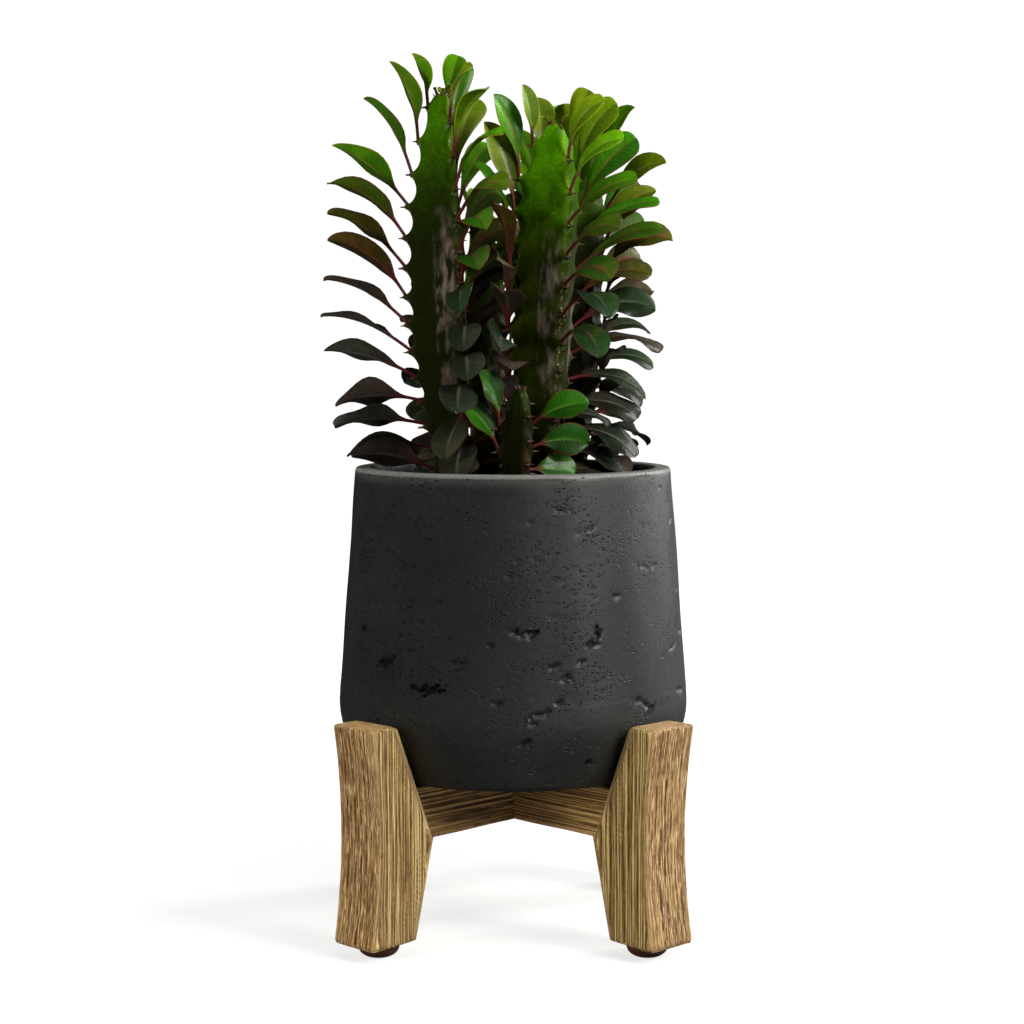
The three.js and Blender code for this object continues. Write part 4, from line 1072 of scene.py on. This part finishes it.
def meets_leaf(points, leaf):
    return np.min(np.sum((points[:, None] - leaf["points"]) ** 2, axis=2)) < LEAF_CLEARANCE**2


def grow_leaves():
    grown = []
    for salt, (name, stem) in enumerate(STEMS.items()):
        for rib, direction in enumerate(stem["ribs"]):
            for n, z in rib_nodes(stem, rib, 3):
                if 10 * rib + n not in stem["bare"]:
                    grown += grow_leaf(name, stem, salt, rib, direction, n, z, grown)
    return grown


def grow_leaf(name, stem, salt, rib, direction, n, z, grown):
    """The leaf of one node in a list, which is empty where no dodge clears it."""
    v = (z - stem["first_node"]) / (stem["top"] - stem["first_node"])
    form = leaf_form(stem, salt, rib, n, v)
    node = on_rib(stem, direction, z, 1, LEAF_LIFT)
    near = [leaf for leaf in grown if leaf["stem"] != name and math.dist(leaf["node"], node) < NEIGHBOURHOOD]
    for swing, lift, share in DODGES:
        posed = dict(form, launch=min(STEEPEST, form["launch"] + lift), tip=min(STEEPEST, form["tip"] + lift),
                     length=form["length"] * share)
        azimuth = direction + form["swing"] + swing
        half_width = form["half_width"] * share**0.5
        across = TEST_LANES * TEST_HALF * half_width
        points = on_leaf(leaf_frames(node, azimuth, posed), TEST_PLACES, across, 0 * across)
        if meets_planter(points) or any(meets_stem(points, s) for other, s in STEMS.items() if other != name):
            continue
        if not any(meets_leaf(points, leaf) for leaf in near):
            return [dict(stem=name, rib=rib, n=n, node=node, azimuth=azimuth, form=posed,
                         half_width=half_width, points=points, v=v)]
    return []


# The plant's pieces

PLANT_VALUES = ("age", "tone", "lane", "place", "upper", "rise", "crest", "pad", "eye", "middle", "cork")
SKIN, LEAF, SPINE = range(3)  # the order of the plant's finishes
BLADE_PLACES = np.array([0.0, 0.06, 0.13, *np.linspace(0.2, 0.91, 11), 0.94, 0.962, 0.978, 0.99, 0.996, 1.0])
BLADE_LANES = np.sin(np.linspace(-math.pi / 2, math.pi / 2, 9))
STALK_THICKNESS, BLADE_THICKNESS = 2.0, 0.75
SPINE_LENGTH, SPINE_RADIUS, SPINE_ROOT, SPINE_SIDES = 4.1, 0.62, 1.8, 7
FACE_POINTS = 16  # round the stem from one rib to the next
SCALLOP = 1.3 * CREST_NOTCH


def blade_outline(s, square):
    """Half width along the leaf as a share of the widest: a stalk, a long taper, a pointed to square end."""
    widest, blunt, corner = 0.56 + 0.26 * square, 1.45 + 1.5 * square, 0.86 - 0.36 * square
    stalk = (0.105 + 0.05 * s) * (1 - smooth(0.5, 0.9, s))
    taper = np.sin(math.pi / 2 * np.clip((s - 0.07) / (widest - 0.07), 0, 1) ** 1.3) ** 1.1
    beyond = np.clip((s - widest) / (1 - widest), 0, 1)
    blade = np.where(s < widest, taper, (1 - beyond**blunt) ** corner)
    return np.where(s > 0.995, 0.03, np.hypot(stalk, blade))


def add_leaf(shape, root, azimuth, form, half_width, age, tone, seed, square=0.5):
    """One leaf as a closed blade, its stalk sunk in the stem."""
    rng = np.random.default_rng(seed)
    frames = leaf_frames(root, azimuth, form, steps=24)
    s, lanes = BLADE_PLACES[:, None], BLADE_LANES
    blade = smooth(0.14, 0.4, s)  # 0 on the stalk and 1 on the blade
    square = float(np.clip(square + rng.uniform(-0.15, 0.15), 0, 1))
    across = blade_outline(s, square) * half_width * (1.06 - 0.06 * square) * lanes
    thick = STALK_THICKNESS + (BLADE_THICKNESS - STALK_THICKNESS) * blade
    height, turns, start = rng.uniform(0.3, 1.0), rng.uniform(1.3, 2.1), rng.random()
    wave = height * (0.8 + 1.3 * age) * np.sin(2 * math.pi * (turns * s + start) + 1.6 * np.sign(lanes))
    cup = np.abs(across) * (0.16 - 0.3 * square) * smooth(0.3, 1.0, np.abs(lanes)) - 0.02 * across**2
    flat = -np.abs(across) * math.sin(math.radians(LEAF_FOLD)) * (1 - blade)
    body = (wave * lanes**2 + cup) * blade + flat
    rim = np.sqrt(np.clip(1 - lanes**2, 0, 1)) * (1 - blade) + (1 - 0.5 * lanes**4) * blade
    groove = 0.32 * blade * np.exp(-(across / 0.9) ** 2)
    keel = 0.45 * blade * np.exp(-(across / 1.1) ** 2) * (1 - smooth(0.6, 1.0, s))
    places = np.broadcast_to(s, across.shape)
    upper = on_leaf(frames, places, across, body + thick / 2 * rim - groove)
    lower = on_leaf(frames, places, across, body - thick / 2 * rim - keel)
    # round the leaf: under it from right to left, then back over it
    loop = np.concatenate([lower, upper[:, ::-1]], axis=1)
    loop[0] -= frames[1][0] * LEAF_ROOT
    rows = np.ones((len(s), 1))
    shape.loop_rows(
        loop, LEAF, age=age, tone=tone, place=np.hstack([places, places]),
        lane=rows * np.concatenate([lanes, lanes[::-1]]), upper=rows * np.repeat([0.0, 1.0], len(lanes)))


def add_spine(shape, root, along, length, radius):
    """A thin thorn that curves up a little, with its root sunk in the stem."""
    along = along / np.linalg.norm(along)
    a = np.cross(along, (0, 0, 1.0))
    a /= np.linalg.norm(a)
    b = np.cross(along, a)
    turn = np.linspace(0, 2 * math.pi, SPINE_SIDES, endpoint=False)[::-1, None]
    ring = np.cos(turn) * a + np.sin(turn) * b
    # share of the length, share of the radius, and rise
    stations = [(-SPINE_ROOT / length, 1.25, 0), (0.0, 1.15, 0), (0.35, 0.8, 0), (0.75, 0.4, 0.08),
                (1.0, 0.06, 0.25)]
    rows = [root + along * (share * length) + ring * (size * radius) + (0, 0, rise)
            for share, size, rise in stations]
    place = [[max(0.0, share)] * SPINE_SIDES for share, _, _ in stations]
    shape.loop_rows(np.array(rows), SPINE, place=place)


def scalloped_edge(stem, z, which, turn):
    """How far one rib's scalloped edge lets the skin out, and its pad, eye and crest masks beside it."""
    reach = rib_reach(stem, z)
    phase = node_number(stem, z) - rib_shift(which)
    part = np.clip((phase - np.floor(phase) - 0.06) / 0.88, 0, 1)
    bay = np.sin(math.pi * part**0.85) ** 0.62
    notch = SCALLOP * np.minimum(1, reach / 20) * bay * smooth(SOIL_LEVEL - 6, SOIL_LEVEL + 8, z)
    arc = np.abs(turn) * reach[:, None]
    limit = (reach - notch)[:, None] + 0.004 * arc**2 + 40 * (arc > 13)
    above = z - node_height(stem, np.round(phase) + rib_shift(which))
    started = (phase > -0.4)[:, None]
    pad = np.exp(-((above + 2.8) / 2.0) ** 2)[:, None] * np.exp(-(((arc - 2.2) / 1.3) ** 2)) * started
    eye = np.exp(-(above / 1.9) ** 2)[:, None] * np.exp(-((arc / 1.7) ** 2)) * started
    return limit, pad, eye, np.exp(-((arc / 4.5) ** 2))


def stem_face(stem, z, rib, lumps):
    """The skin from one rib to the next: its points, and the crest, pad, eye, middle and cork values."""
    following = (rib + 1) % len(stem["ribs"])
    direction = stem["ribs"][rib]
    span = math.radians((stem["ribs"][following] - direction + 720) % 360)
    share = 0.5 - 0.5 * np.cos(np.linspace(0, math.pi, FACE_POINTS + 1)[:-1])
    angle = math.radians(direction) + share * span
    chord = (rib_reach(stem, z)[:, None] + 1.9) * math.cos(span / 2) / np.cos((share - 0.5) * span)
    hollow = (1 - 0.075 * np.sin(math.pi * share) ** 0.8) * chord
    ends = ((rib, share * span), (following, (1 - share) * span))
    limits, *masks = zip(*(scalloped_edge(stem, z, which, turn) for which, turn in ends))
    limit = np.minimum(*limits)
    pad, eye, crest = (np.maximum(*mask) for mask in masks)
    # a smooth lesser of the two, so that the face turns softly into the rib
    radius = 0.5 * (hollow + limit - np.sqrt((hollow - limit) ** 2 + 1.1**2))
    radius = radius + 0.5 * eye + 0.24 * lumps(angle * 18.0, z[:, None]) * (1 - eye)
    points = stem_axis(stem, z)[:, None, :] + at_angle(angle, radius)
    # the flank before each rib turns to bark first, most on the front rib
    rise = soil_share(stem, z)[:, None]
    bark = smooth(0.2, 0.4, rise) * (1 - smooth(0.62, 0.76, rise)) * (1 - stem["young"])
    flank = smooth(0.5, 0.64, share) * (1 - smooth(0.88, 0.98, share)) * (1.0 if following == 1 else 0.6)
    middle = 0 * radius + 1 - np.abs(2 * share - 1)
    return points, [crest, pad, eye, middle, flank * bark]


def add_stem_skin(shape, stem, seed):
    """The ribbed column: flat to hollow faces, scalloped crests with a pad at each node, a blunt top."""
    top = stem["top"]
    z = np.array([SOIL_LEVEL - 20, SOIL_LEVEL - 8, *np.arange(SOIL_LEVEL - 3, top - 0.5, 1.0), top - 0.3])
    lumps = waves(seed, 9, 40, 6)
    faces = [stem_face(stem, z, rib, lumps) for rib in range(len(stem["ribs"]))]
    points = np.concatenate([face[0] for face in faces], axis=1)
    layers = [np.concatenate(layer, axis=1) for layer in zip(*(face[1] for face in faces))]
    # a young shoot is one even dark green from its tip right down to the soil
    rise = soil_share(stem, z)
    rise = np.append(rise, [1.0] * 3)
    rise = (rise + (1 - rise) * 0.45 * stem["young"]) * (1 - 0.2 * stem["young"])
    layers = [np.vstack([layer] + [layer[-1:]] * 3) for layer in layers]
    # the blunt top: the last ring drawn in and raised in three steps
    last, middle = points[-1], points[-1].mean(axis=0)
    for drawn_in, lift in ((0.72, 1.2), (0.4, 2.1), (0.12, 2.5)):
        ring = middle + (last - middle) * drawn_in
        ring[:, 2] = top + lift - 0.3
        points = np.concatenate([points, ring[None]])
    values = dict(zip(("crest", "pad", "eye", "middle", "cork"), layers))
    # tone carries the stem's dark value, the amount of painted shade on its skin
    shape.loop_rows(points, SKIN, rise=rise[:, None] + 0 * layers[0], tone=stem["dark"], **values)


def add_spine_pairs(shape, stem):
    for rib, direction in enumerate(stem["ribs"]):
        for n, z in rib_nodes(stem, rib, 2):
            root = on_rib(stem, direction, z, 0.2, -0.2)
            for hand in (-1, 1):
                out = direction + hand * (42 + 8 * draw(rib, n, 31 + hand))
                along = at_angle(math.radians(out), 1.0, 0.1 * draw(rib, n, 41 + hand) - 0.1)
                add_spine(shape, root, along, SPINE_LENGTH + 0.7 * draw(rib, n, 51 + hand), SPINE_RADIUS)


def add_top_tuft(shape, stem, salt):
    """Small new leaves and spines round the growing tip. A young shoot has the spines alone."""
    tip = stem_axis(stem, stem["top"]) + (0, 0, 1.0)
    size = 0.55 + 0.45 * stem["radius"] / 24
    for k in range(0 if stem["young"] else 4):
        turn = k * GOLDEN_ANGLE + 40 * salt
        form = dict(launch=74 - 9 * k, tip=62 - 15 * k, length=size * (3.5 + 2.2 * k),
                    curl=12 * draw(salt, k, 61), roll=20 * draw(salt, k, 62))
        root = tip + at_angle(math.radians(turn), (1.0 + 0.9 * k) * size)
        half_width, seed = size * (1.1 + 0.5 * k), 900 + 10 * salt + k
        add_leaf(shape, root, turn, form, half_width, age=0.12, tone=0.7, seed=seed)
    for k in range(7):
        angle = math.radians(k * 51 + 20 * salt)
        root = tip + at_angle(angle, 3.4 * size, -0.8)
        along = at_angle(angle, 1.0, 0.9 + 0.4 * draw(salt, k, 63))
        add_spine(shape, root, along, 3.0 + draw(salt, k, 64), 0.55)


def add_grown_leaf(shape, stem, salt, leaf):
    """A leaf of the growth rule, with its age, tone and end by its place on the stem."""
    key = (salt * 10 + leaf["rib"], leaf["n"])
    v = leaf["v"]
    if stem["young"]:
        age, tone = 0.47 + 0.06 * draw(*key, 21), -1.0
    else:
        age, tone = 1 - smooth(0.2, 0.95, v) + 0.13 * draw(*key, 21), max(0.0, draw(*key, 22))
    square = 0.45 + (stem["ends"][leaf["rib"]] - 0.45) * smooth(0.0, 0.5, v + 0.3)
    add_leaf(shape, leaf["node"], leaf["azimuth"], leaf["form"], leaf["half_width"],
             float(np.clip(age, 0, 1)), tone, 1000 + 100 * key[0] + key[1], square)


def make_plant():
    finishes = [stem_finish(), leaf_finish(), spine_finish()]
    leaves = grow_leaves()
    for salt, (name, stem) in enumerate(STEMS.items()):
        shape = Shape(*PLANT_VALUES)
        add_stem_skin(shape, stem, 300 + salt)
        for leaf in leaves:
            if leaf["stem"] == name:
                add_grown_leaf(shape, stem, salt, leaf)
        add_spine_pairs(shape, stem)
        add_top_tuft(shape, stem, salt)
        shape.piece(f"leafy_{name}", finishes, [name], sharp=50)


set_camera()
set_lamps()
set_world()
set_floor()
make_cradle()
make_planter()
make_soil()
make_crumbs()
make_plant()
